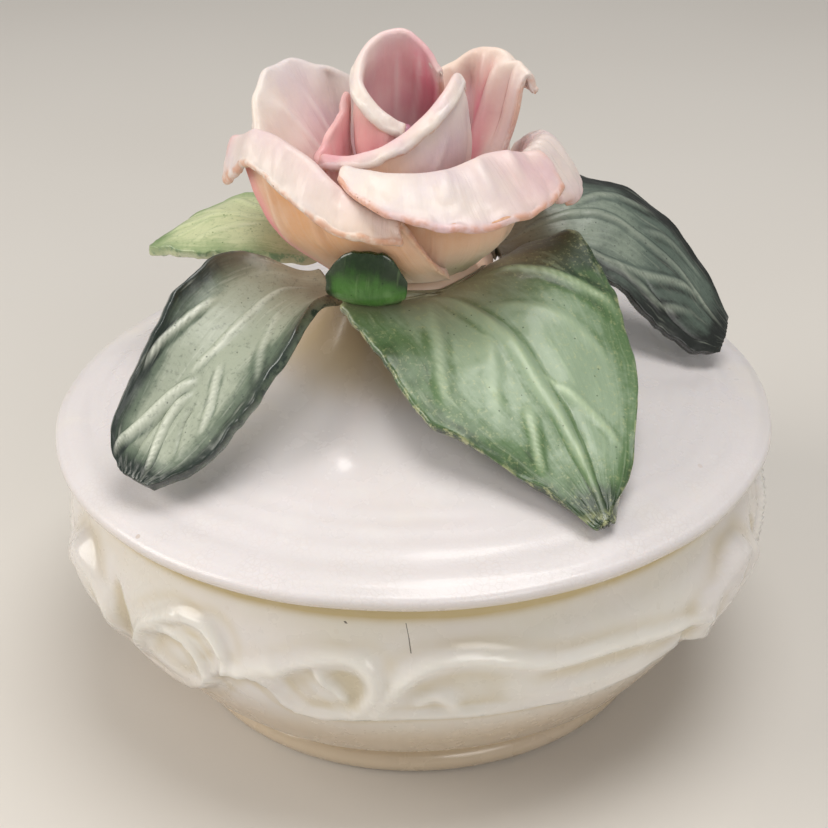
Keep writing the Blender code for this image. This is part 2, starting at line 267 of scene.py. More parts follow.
class Wire:
    """A shader socket that takes part in sums."""

    def __init__(self, paint, socket):
        self.paint = paint
        self.socket = socket

    def sum(self, operation, *others, flip=False):
        values = [self, *others]
        if flip:
            values.reverse()
        settings = {"operation": operation}
        return self.paint.node("ShaderNodeMath", settings, dict(enumerate(values)))

    def __add__(self, other): return self.sum("ADD", other)
    __radd__ = __add__
    def __mul__(self, other): return self.sum("MULTIPLY", other)
    __rmul__ = __mul__
    def __sub__(self, other): return self.sum("SUBTRACT", other)
    def __rsub__(self, other): return self.sum("SUBTRACT", other, flip=True)
    def __truediv__(self, other): return self.sum("DIVIDE", other)
    def held(self): return self.paint.node("ShaderNodeClamp", {}, {"Value": self})
    def below(self, other): return self.sum("LESS_THAN", other)


class Paint:
    """A material under construction."""

    def __init__(self, name):
        self.material = bpy.data.materials.new(name)
        self.material.use_nodes = True
        self.tree = self.material.node_tree
        self.shader = self.tree.nodes["Principled BSDF"]

    def node(self, kind, settings, sockets, output=0):
        """Adds a node: its settings come first, and then the value or the link of each named socket."""
        made = self.tree.nodes.new(kind)
        for key, value in settings.items():
            setattr(made, key, value)
        self.feed(made, sockets)
        return Wire(self, made.outputs[output])

    def feed(self, node, sockets):
        """Gives each named socket of a node its value or its link."""
        for key, value in sockets.items():
            if isinstance(value, Wire):
                self.tree.links.new(value.socket, node.inputs[key])
            else:
                node.inputs[key].default_value = value

    def place(self):
        return self.node("ShaderNodeTexCoord", {}, {}, "Object")

    def mark(self, name, output="Fac"):
        return self.node("ShaderNodeAttribute", {"attribute_name": name}, {}, output)

    def clouds(self, size, detail=3.0, roughness=0.55, seed=0.0):
        """Noise from 0 to 1 with patches about this many millimetres across."""
        sockets = {"W": seed, "Vector": self.place(), "Scale": 1000.0 / size, "Detail": detail,
                   "Roughness": roughness}
        return self.node("ShaderNodeTexNoise", {"noise_dimensions": "4D"}, sockets, "Fac")

    def strokes(self, scale, detail=3.0):
        """Noise from 0 to 1 drawn out along a sheet: scale is per millimetre across, along and through it."""
        sockets = {0: self.mark("lie", "Vector"), 1: scale}
        drawn = self.node("ShaderNodeVectorMath", {"operation": "MULTIPLY"}, sockets)
        return self.node("ShaderNodeTexNoise", {}, {"Vector": drawn, "Scale": 1.0, "Detail": detail}, "Fac")

    def ramp(self, wire, low, high):
        """0 below low and 1 above high."""
        sockets = {"Value": wire, "From Min": low, "From Max": high}
        return self.node("ShaderNodeMapRange", {"interpolation_type": "SMOOTHSTEP"}, sockets)

    def mix(self, factor, a, b):
        return self.node("ShaderNodeMix", {"data_type": "RGBA"}, {0: factor, 6: a, 7: b}, 2)

    def cells(self, size, feature="F1", seed=(0, 0, 0)):
        """Voronoi cells of about this many millimetres: (distance, a random number for each cell)."""
        moved = self.node(
            "ShaderNodeMapping", {}, {"Vector": self.place(), "Location": tuple(s * MM for s in seed)})
        settings = {"feature": feature}
        sockets = {"Vector": moved, "Scale": 1000.0 / size}
        made = self.node("ShaderNodeTexVoronoi", settings, sockets, "Distance")
        node = made.socket.node
        chance = None
        if feature == "F1":
            chance = self.node("ShaderNodeSeparateColor", {}, {"Color": Wire(self, node.outputs["Color"])})
        return made, chance

    def specks(self, size, share, radius, seed=(0, 0, 0)):
        """Dots in this share of cells, with a radius given as a share of a cell."""
        distance, chance = self.cells(size, seed=seed)
        return distance.below(radius) * chance.below(share)

    def crack(self, start, end, width):
        """1 on a straight line down the front between two points (x, height), in millimetres."""
        parts = self.node("ShaderNodeSeparateXYZ", {}, {"Vector": self.place()})
        x, y, z = (Wire(self, parts.socket.node.outputs[i]) for i in range(3))
        share = (z - start[1] * MM) / ((end[1] - start[1]) * MM)
        off = (x - (share * (end[0] - start[0]) + start[0]) * MM).sum("ABSOLUTE")
        middle = (share - 0.5).sum("ABSOLUTE")
        return off.below(width / 2 * MM) * middle.below(0.5) * y.below(0.0)

    def bump(self, height, distance, strength=1.0, under=None):
        """Height is from 0 to 1, and distance is the size in millimetres of a full step."""
        sockets = {"Height": height, "Distance": distance * MM, "Strength": strength}
        if under is not None:
            sockets["Normal"] = under
        return self.node("ShaderNodeBump", {}, sockets, "Normal")

    def finish(self, sockets):
        self.feed(self.shader, sockets)
        return self.material


GLAZE = {"IOR": 1.5, "Coat IOR": 1.5, "Coat Roughness": 0.14, "Subsurface Radius": (1.0, 0.8, 0.6)}


def porcelain(name, glaze, edge_grain, cracks=()):
    """Warm white porcelain under a clear glaze, with a few iron specks, painted shade and painted highlights.

    A crack runs between two points (x, height) of the front, in millimetres.
    """
    paint = Paint(name)
    pool_and_shade = paint.mark("pool_and_shade")
    wide = paint.clouds(26, seed=1.0)
    fine = paint.clouds(5, detail=4, seed=2.0)
    colour = paint.mix(paint.ramp(wide, 0.38, 0.66) * 0.6, glaze, tint("E6E0E2"))
    colour = paint.mix(paint.ramp(paint.clouds(17, seed=3.0), 0.5, 0.75) * 0.5, colour, tint("EFE7D8"))
    colour = paint.mix(paint.ramp(fine, 0.52, 0.8) * 0.25, colour, tint("F0EEEA"))
    # Painted shade in the yellow of glaze pooled in hollows, where the bowl and lid set it: in hollows, gaps and
    # shaded corners.
    colour = paint.mix((pool_and_shade * (fine * 0.7 + 0.65)).held(), colour, tint("C6B487"))
    # Painted highlight on the raised lines of the moulded band.
    colour = paint.mix((paint.mark("crest_highlight") * 0.8).held(), colour, tint("F3F0E8"))
    # Painted shade and reflection in a warm brown: low on the bowl and round the lid's boss.
    colour = paint.mix(paint.mark("warm_shade"), colour, tint("C4AC8A"))
    dots = paint.specks(7.0, 0.10, 0.035) + paint.specks(3.1, 0.05, 0.04, seed=(5, 2, 9))
    colour = paint.mix((dots * 0.75).held(), colour, tint("5A5046"))
    stain = paint.specks(2.2, 0.05, 0.16, seed=(1, 8, 3)) * paint.mark("rubbed")
    colour = paint.mix(stain * 0.35, colour, tint("A8824E"))
    for start, end, width in cracks:
        colour = paint.mix(paint.crack(start, end, width) * 0.85, colour, tint("4A4038"))
    lines, _ = paint.cells(0.8, "DISTANCE_TO_EDGE")
    craze = (1 - paint.ramp(lines, 0.0, 0.16)) * paint.mark("rubbed")
    craze = craze * paint.ramp(fine, 0.35, 0.6) * edge_grain
    colour = paint.mix((craze * 0.12).held(), colour, tint("B7A59C"))
    grain = paint.clouds(0.55, detail=2, seed=4.0)
    flow = paint.clouds(9, detail=2, seed=5.0)
    normal = paint.bump(flow, 0.22, 0.5)
    normal = paint.bump(grain, 0.018, 0.5, normal)
    normal = paint.bump(craze, -0.02, 0.5, normal)
    pitted = paint.clouds(1.1, detail=4, roughness=0.7, seed=6.0) * paint.mark("rubbed") * edge_grain
    normal = paint.bump(pitted, 0.13, 0.6, normal)
    rough = paint.ramp(fine, 0.3, 0.8) * 0.12 + 0.22 + paint.mark("rubbed") * 0.16
    return paint.finish({
        **GLAZE, "Base Color": colour, "Roughness": rough, "Normal": normal, "Coat Weight": 0.45,
        "Subsurface Weight": 0.12, "Subsurface Scale": 0.002})


def petal_glaze(name, rose):
    """Cream glaze with pink, peach and mauve washed on by hand, brushed along the petal; the mauve also paints
    shade in the folds and the bud's throat.
    """
    paint = Paint(name)
    wash = paint.node("ShaderNodeSeparateColor", {}, {"Color": paint.mark("wash", "Color")})
    pink, peach, mauve_fold_shade = (Wire(paint, wash.socket.node.outputs[i]) for i in range(3))
    moss = paint.mark("wash", "Alpha")
    edge, line = paint.mark("edge"), paint.mark("line")
    brush = paint.clouds(5.5, detail=4, seed=1.0)
    mottle = paint.clouds(1.7, detail=4, seed=2.0)
    streak = paint.strokes((1.5, 0.10, 1.0), detail=3)
    fine = paint.strokes((4.5, 0.30, 1.0), detail=2)
    uneven = brush * 0.9 + streak * 0.35 + mottle * 0.3 + 0.25
    colour = paint.mix(paint.ramp(brush, 0.40, 0.70) * 0.6, tuple(rose.cream), tint("DFD5D9"))
    colour = paint.mix(paint.ramp(streak, 0.48, 0.72) * 0.20, colour, tint("F2E9DA"))
    colour = paint.mix((peach * uneven).held(), colour, tuple(rose.peach))
    colour = paint.mix((pink * uneven).held(), colour, tuple(rose.pink))
    # Mauve: partly wash, partly painted shade in the folds and the throat.
    colour = paint.mix((mauve_fold_shade * uneven).held(), colour, tuple(rose.mauve_fold_shade))
    colour = paint.mix((moss * uneven).held(), colour, tint("8F9A5A"))
    colour = paint.mix(paint.ramp(mottle, 0.55, 0.85) * 0.30, colour, tint("F0E7E0"))
    colour = paint.mix((line * (mottle + 0.3)).held() * 0.8, colour, tint("F3E9E4"))
    rubbed = edge * paint.ramp(mottle, 0.36, 0.60)
    colour = paint.mix((rubbed * 0.72).held(), colour, tint("D8966E"))
    rust = paint.specks(0.8, 0.25, 0.17, seed=(3, 1, 7)) * edge
    colour = paint.mix((rust * 0.7).held(), colour, tint("8A5234"))
    dust = paint.specks(2.6, 0.08, 0.05, seed=(2, 9, 4))
    colour = paint.mix((dust * 0.6).held(), colour, tint("6B5648"))
    normal = paint.bump(brush, 0.25, 0.5)
    normal = paint.bump(streak, 0.20, 0.5, normal)
    normal = paint.bump(fine, 0.05, 0.5, normal)
    normal = paint.bump(mottle * (edge + 0.35), 0.28, 0.7, normal)
    normal = paint.bump(paint.clouds(0.5, detail=2, seed=7.0), 0.03, 0.5, normal)
    rough = paint.ramp(mottle, 0.3, 0.8) * 0.16 + 0.42
    return paint.finish({
        **GLAZE, "Base Color": colour, "Roughness": rough, "Normal": normal, "Coat Weight": 0.16,
        "Subsurface Weight": 0.15, "Subsurface Scale": 0.0015})


def leaf_glaze(name, pale, green, dark, edge_colour, vein_colour):
    """Green underglaze sponged darker towards the edge, wiped off the veins, under a wet gloss."""
    paint = Paint(name)
    rim, shade, line = paint.mark("rim"), paint.mark("shade"), paint.mark("line")
    sponge = paint.clouds(8.0, detail=5, roughness=0.62, seed=1.0)
    mottle = paint.clouds(1.5, detail=5, roughness=0.7, seed=2.0)
    streak = paint.strokes((1.1, 0.16, 1.0), detail=4)
    # The valley mark adds painted shade beside the veins.
    depth = shade + paint.mark("valley_shade") * 0.75 + (sponge - 0.5) * 0.9
    depth = depth + (mottle - 0.5) * 0.40 + (streak - 0.5) * 0.55
    colour = paint.mix(paint.ramp(depth, 0.05, 0.55), pale, green)
    colour = paint.mix(paint.ramp(depth, 0.50, 1.05), colour, dark)
    colour = paint.mix(paint.ramp(streak, 0.55, 0.72) * 0.28, colour, vein_colour)
    colour = paint.mix((paint.mark("root") * (sponge + 0.4)).held(), colour, tint("A3967C"))
    colour = paint.mix((line * (mottle + 0.5)).held(), colour, vein_colour)
    worn = rim * paint.ramp(mottle, 0.48, 0.60)
    colour = paint.mix((worn * 0.85).held(), colour, edge_colour)
    dots = paint.specks(1.3, 0.25, 0.10, seed=(4, 4, 1)) + paint.specks(0.8, 0.10, 0.14, seed=(1, 6, 1))
    colour = paint.mix((dots * 0.6).held(), colour, dark)
    grain = paint.clouds(0.6, detail=3, roughness=0.7, seed=9.0)
    colour = paint.mix(paint.ramp(grain, 0.52, 0.70) * 0.35, colour, edge_colour)
    chips = paint.specks(1.5, 0.06, 0.10, seed=(7, 1, 5)) * (rim + shade * 0.5).held()
    colour = paint.mix((chips * 0.6).held(), colour, tint("C9CDB0"))
    normal = paint.bump(paint.clouds(2.6, detail=3, seed=6.0), 0.28, 0.5)
    normal = paint.bump(streak, 0.16, 0.5, normal)
    normal = paint.bump(mottle, 0.10, 0.5, normal)
    rough = paint.ramp(mottle, 0.3, 0.8) * 0.20 + 0.34 - rim * 0.14
    return paint.finish({
        **GLAZE, "Base Color": colour, "Roughness": rough, "Normal": normal, "Coat Weight": rim * 0.6 + 0.18})


# ---------------------------------------------------------------- bowl

REPEAT = 120.0       # degrees from one shell to the next
PER_DEGREE = 0.80    # millimetres round the belly

# Where the moulded band ends below: (degrees from the front, height).
BORDER = (
    (-75.0, 20.5), (-69.4, 18.1), (-62.7, 16.3), (-55.0, 16.1), (-49.0, 16.1), (-44.0, 15.5),
    (-39.0, 16.1), (-35.0, 18.7),
    (-32.0, 22.1), (-29.0, 24.2), (-25.0, 24.7), (-22.6, 23.5), (-20.8, 21.1), (-18.6, 19.5),
    (-14.2, 19.1), (-8.9, 19.9),
    (-2.0, 20.5), (4.0, 20.5), (15.0, 20.3), (25.0, 19.5), (33.0, 20.1), (40.0, 21.1), (45.0, 20.5),
)
# Raised or sunk lines: points of (degrees from the front, height), then half-width and rise in millimetres.
SCROLLS = (
    (((-49.6, 18.9), (-48.0, 22.5), (-45.4, 26.1), (-41.6, 28.9), (-37.0, 30.7), (-33.4, 30.9), (-30.6, 29.7),
      (-29.0, 27.4), (-29.2, 25.3)), 0.62, 0.95),
    (((-44.6, 25.1), (-42.0, 27.1), (-39.0, 27.7), (-36.0, 26.9), (-34.4, 24.7), (-33.6, 22.1),
    (-32.0, 20.7)),
     0.55, 0.90),
    (((-29.6, 26.1), (-27.6, 24.7), (-25.2, 24.9)), 0.8, 0.55),
    (((-28.2, 25.9), (-24.0, 26.7), (-20.0, 28.3)), 1.3, 0.60),
    (((-21.9, 24.7), (-19.8, 27.4), (-15.4, 29.5), (-10.8, 30.5), (-7.8, 29.7), (-6.3, 27.3), (-7.2, 24.3),
      (-9.6, 21.7)), 0.75, 0.55),
    (((-14.7, 28.7), (-14.1, 26.7), (-11.9, 24.9), (-11.0, 23.5)), 0.50, 0.70),
    (((-6.6, 21.7), (-4.2, 25.3), (-1.0, 28.7), (3.0, 30.4), (8.0, 30.5), (13.0, 29.4), (19.0, 28.0),
    (25.0, 27.8),
      (32.0, 27.3), (39.0, 26.0), (45.0, 24.7), (49.0, 23.9)), 0.90, 0.75),
    (((-1.4, 23.7), (2.2, 25.0), (5.6, 22.3)), 0.8, 0.5),
    (((12.0, 26.1), (20.0, 23.7), (29.0, 23.1), (37.0, 22.1)), 2.2, 0.35),
    (((48.6, 26.9), (46.6, 24.1), (44.2, 21.9), (41.0, 19.9)), 0.8, -0.45),
    (((-52.5, 30.0), (-51.0, 25.9), (-52.0, 21.3)), 0.8, -0.50),
)
# Sunk dishes: centre, half-widths in millimetres, and depth.
DISHES = (
    ((-38.4, 23.9), (5.4, 4.6), 0.50),
    ((-14.4, 24.9), (6.0, 4.2), 0.55),
    ((-10.3, 26.1), (2.4, 3.0), 0.35),
    ((5.2, 25.3), (6.6, 3.6), 0.40),
    ((24.0, 25.3), (9.0, 1.9), 0.25),
)
SHELL_FOOT = (-63.5, 12.5)   # where a shell's flutes meet
SHELL_REACH = 18.2


def round_to(turn, middle):
    """Millimetres round the belly from the nearest copy of this place."""
    return (np.mod(turn - middle + REPEAT / 2, REPEAT) - REPEAT / 2) * PER_DEGREE


def scroll(turn, height, points, width, rise):
    """The rise, at each place, of one tapering line."""
    middle = sum(p[0] for p in points) / len(points)
    guide = [Vector(((a - middle) * PER_DEGREE, z)) for a, z in points]
    path = [along(guide, i / 22) for i in range(23)]
    distance, share = nearest(np.stack([round_to(turn, middle), height], -1), path)
    taper = np.clip(5 * np.minimum(share, 1 - share) + 0.3, 0, 1)
    return rise * taper * np.exp(-(distance / (width * (0.55 + 0.45 * taper))) ** 2)


def shell(turn, height):
    """A fluted shell that stands proud towards its scalloped upper edge."""
    x = round_to(turn, SHELL_FOOT[0])
    y = height - SHELL_FOOT[1]
    reach = np.hypot(x, y)
    lean = np.degrees(np.arctan2(x, y))
    flute = np.cos(np.radians(lean * 11.0))
    rim = SHELL_REACH + 0.7 * flute - 0.0030 * lean**2
    spread = ease(52, 34, np.abs(lean))
    body = 0.20 + 1.25 * np.clip(reach / SHELL_REACH, 0, 1) ** 1.2 + 0.22 * flute * ease(3, 10, reach)
    return body * spread * ease(rim + 1.6, rim - 1.6, reach) * ease(0.0, 3.0, reach)


def crests(turn, height):
    """The raised and sunk lines alone."""
    return sum(scroll(turn, height, *line) for line in SCROLLS)


def relief(turn, height):
    """How far the moulded band stands out from the plain bowl, in millimetres."""
    border = np.interp(
        np.mod(turn + 75, REPEAT) - 75, [p[0] for p in BORDER], [p[1] for p in BORDER])
    band = 0.85 * ease(border - 0.1, border + 1.1, height) * ease(35.0, 27.5, height)
    lip = 0.40 * np.exp(-((height - border - 1.0) / 0.8) ** 2)
    lines = crests(turn, height)
    hollow = np.zeros(turn.shape)
    for (a, z), (wide, tall), depth in DISHES:
        near = (round_to(turn, a) / wide) ** 2 + ((height - z) / tall) ** 2
        hollow += depth * ease(1.25, 0.35, near)
    return band + lip + lines - hollow + shell(turn, height)


def relief_tables(scale):
    """The rise, hollowness and crests of one repeat of the band, every half degree and quarter millimetre; the
    hollowness is painted as shade and the crests as highlight.
    """
    turn, height = np.meshgrid(np.arange(0, REPEAT, 0.5), np.arange(4, 38.1, 0.25), indexing="ij")
    rise = relief(turn, height) * scale
    around = sum(np.roll(rise, (a, z), (0, 1)) for a in (-5, 5) for z in (-7, 7)) / 4
    # How far each place lies below its neighbours, used for painted shade in the band's hollows.
    hollow = np.clip((around - rise) * 1.6, 0, 1)
    return rise, hollow, np.clip(crests(turn, height) * 1.3, 0, 1)


def read_table(table, turn, height):
    """Reads a table of the band at any places round the bowl."""
    x = np.mod(turn, REPEAT) / 0.5
    y = np.clip((height - 4) / 0.25, 0, table.shape[1] - 1.001)
    i, j = x.astype(int), y.astype(int)
    f, g = x - i, y - j
    i, k = i % table.shape[0], (i + 1) % table.shape[0]
    low = table[i, j] * (1 - g) + table[i, j + 1] * g
    high = table[k, j] * (1 - g) + table[k, j + 1] * g
    return low * (1 - f) + high * f


def bowl_profile(wall):
    """Up the inside, over the rim, down the belly to the foot ring, and in under the base."""
    radius, top = (BOWL_HIGH.x - BOWL_LOW.x) / 2, BOWL_HIGH.z
    outer = [Vector(p) for p in (
        (radius - 1.0, 36.4), (radius - 0.4, 33.0), (radius, 27.7), (radius - 0.8, 22.0),
        (radius - 3.0, 16.9),
        (radius - 5.7, 12.2), (radius - 9.0, 7.9), (radius - 13.0, 5.0), (radius - 14.2, 4.0),
        (radius - 13.3, 3.0), (radius - 12.9, 1.9), (radius - 13.3, 0.8), (radius - 14.2, 0.0))]
    inner = [Vector((max(p.x - wall, 0), p.y)) for p in outer if p.y > 7]
    inside = [(0, 5.0), (8, 5.0), (16, 5.0), (24, 5.2), (30, 5.7)]
    inside += [tuple(along(inner[::-1], i / 22)) for i in range(23)]
    lip = arc((radius - 1.0 - wall / 2, top - wall / 2), wall / 2, 165, 15, 9)
    outside = [tuple(along(outer, i / 100)) for i in range(101)]
    foot = [(30.9, 0.0), (30.2, 0.5), (29.4, 2.0), (20, 2.0), (10, 2.0), (0, 2.0)]
    return inside + lip + outside + foot


def build_bowl(settings):
    bm = spun(bowl_profile(settings.wall / MM), settings.turns)
    places = places_of(bm)
    radius = np.hypot(places[:, 0], places[:, 1])
    turn = np.degrees(np.arctan2(places[:, 0], -places[:, 1]))
    height = places[:, 2]
    plain = np.interp(
        height, [6, 7.9, 12.2, 16.9, 22, 27.7, 33, 37.8], [35.5, 39, 42.3, 45, 47.2, 48, 47.6, 46.4])
    outside = (radius > plain - 1.4) & (height > 5)
    rise, hollow, crest_highlight = (
        np.where(outside, read_table(table, turn, height), 0.0) for table in relief_tables(settings.relief))
    uneven = np.array([wobble(p, 19) * 0.22 + wobble(p, 7, 3.0) * 0.05 for p in places])
    uneven *= np.where(height > 4, 1.0, 0.2)
    push_out(places, radius, (rise + uneven) * (radius > 20))
    set_places(bm, places)
    # Painted shade in the yellow of pooled glaze: a shadow line on the bowl just under the lid's edge, a darker
    # groove above the foot, and the band's hollows, where the glaze also pools.
    rim_shadow = 1.25 * np.exp(-((height - 36.0) / 0.85) ** 2) * (radius > 44)
    foot_shade = 0.35 * np.exp(-((height - 4.2) / 1.1) ** 2) * (radius > 30)
    # Painted highlight: the raised lines of the band are lightened.
    mark(bm, "crest_highlight", crest_highlight)
    mark(bm, "pool_and_shade", np.clip(hollow * 0.55 + rim_shadow + foot_shade, 0, 1))
    # Painted reflection and shade: the lower belly is darkened to a warm brown, as if from a wooden table below.
    mark(bm, "warm_shade", 0.70 * ease(21, 12, height) * (radius > 30))
    mark(bm, "rubbed", 0.25 * ease(30, 36, height) * (radius > 44))
    cracks = (((-1.5, 35.0), (-1.2, 33.2), 0.10), ((-1.2, 33.2), (-1.0, 31.4), 0.13), ((-8.7, 34.9),
    (-8.5, 34.6), 0.3))
    glaze = porcelain("bowl_glaze", tuple(settings.glaze), 0.4, cracks)
    return new_piece("bowl_casting", bm, "bowl", ["bowl"], [glaze])


# ---------------------------------------------------------------- lid

def lid_profile(wall):
    """Out over the boss and dome to the rounded edge, then in under the seat, locating ring and ceiling."""
    edge = LID_EDGE / 2
    top = [(0, BOSS_TOP), (3, BOSS_TOP), (6, BOSS_TOP), (8.6, BOSS_TOP - 0.1),
    (BOSS_RADIUS - 0.4, BOSS_TOP - 0.5)]
    span = LID_RADIUS - edge - BOSS_RADIUS
    for i in range(72):
        r = BOSS_RADIUS + 0.3 + span * (i / 72) ** 1.05
        top.append((r, lid_height(r)))
    rounding = arc((LID_RADIUS - edge, SEAT + edge), edge, 78, -90, 12)
    ring = BOWL_HIGH.x - RIM_INSET - CASTING_WALL - RING_CLEARANCE
    foot = LID_LOW.z
    under = [
        (ring + 3.2, SEAT), (ring + 0.6, SEAT), (ring, SEAT - 0.5), (ring, foot + 0.6), (ring - 0.4, foot + 0.1),
        (ring - 1.1, foot), (ring - 1.8, foot + 0.1), (ring - 2.2, foot + 0.6), (ring - 2.2, foot + 2.4)]
    ceiling = []
    for i in range(26):
        r = (ring - 2.2) * (1 - i / 25) ** 1.2
        ceiling.append((r, lid_height(r + wall) - wall))
    return top + rounding + under + ceiling


def build_lid(settings):
    bm = spun(lid_profile(settings.wall / MM), settings.turns)
    places = places_of(bm)
    radius = np.hypot(places[:, 0], places[:, 1])
    height = places[:, 2]
    surface = np.array([lid_height(r) for r in radius])
    top = ease(1.6, 0.4, np.abs(height - surface)) * (height > SEAT + 0.9)
    uneven = np.array([wobble(p, 21, 1.0) * 0.45 + wobble(p, 8, 2.0) * 0.10 for p in places])
    patches = np.array([noise.noise(Vector((p[0], p[1], 40)) / 14) for p in places])
    ripple = 0.075 * np.clip(patches + 0.6, 0, 1) * np.sin(radius * 2.1 + uneven * 6)
    ripple *= ease(32, 40, radius) * ease(49.6, 47, radius)
    ripple += 0.16 * np.exp(-((radius - 47.2) / 1.0) ** 2) - 0.16 * np.exp(-((radius - 44.8) / 1.1) ** 2)
    knob = np.zeros(len(radius))
    for x, y, wide, rise in LID_BUMPS:
        knob += rise * np.exp(-((places[:, 0] - x) ** 2 + (places[:, 1] - y) ** 2) / wide**2)
    places[:, 2] += (uneven * ease(50, 44, radius) + ripple + knob) * top
    edge = np.array([wobble((p[0], p[1], 0), 15, 5.0) for p in places]) * 0.28 * ease(44, 48.5, radius)
    push_out(places, radius, edge)
    set_places(bm, places)
    front = ease(-8, -42, places[:, 1])
    # Painted shade in the yellow of pooled glaze and a warm brown: under the lid's edge where it meets the bowl,
    # and round the boss beneath the leaves and flower.
    under = np.exp(-((height - SEAT) / 0.9) ** 2) * ease(42, 45, radius)
    mark(bm, "pool_and_shade", np.clip(0.55 * under + 0.85 * ease(21, 12, radius), 0, 1))
    mark(bm, "warm_shade", 0.90 * ease(23, 12, radius))
    mark(bm, "rubbed", ease(38, 47.5, radius) * (0.35 + 0.65 * front) * top)
    glaze = porcelain("lid_glaze", tuple(settings.glaze), 1.0)
    return new_piece("lid_casting", bm, "lid", ["lid"], [glaze])


# Soft bumps left on the lid: (x, y, half-width, rise).
LID_BUMPS = ((-9.7, -27.2, 2.2, 0.32), (-9.9, -26.2, 3.2, 0.42), (27.0, -27.0, 6.0, 0.25),
(-16.0, -31.0, 7.0, 0.3))


# ---------------------------------------------------------------- flower

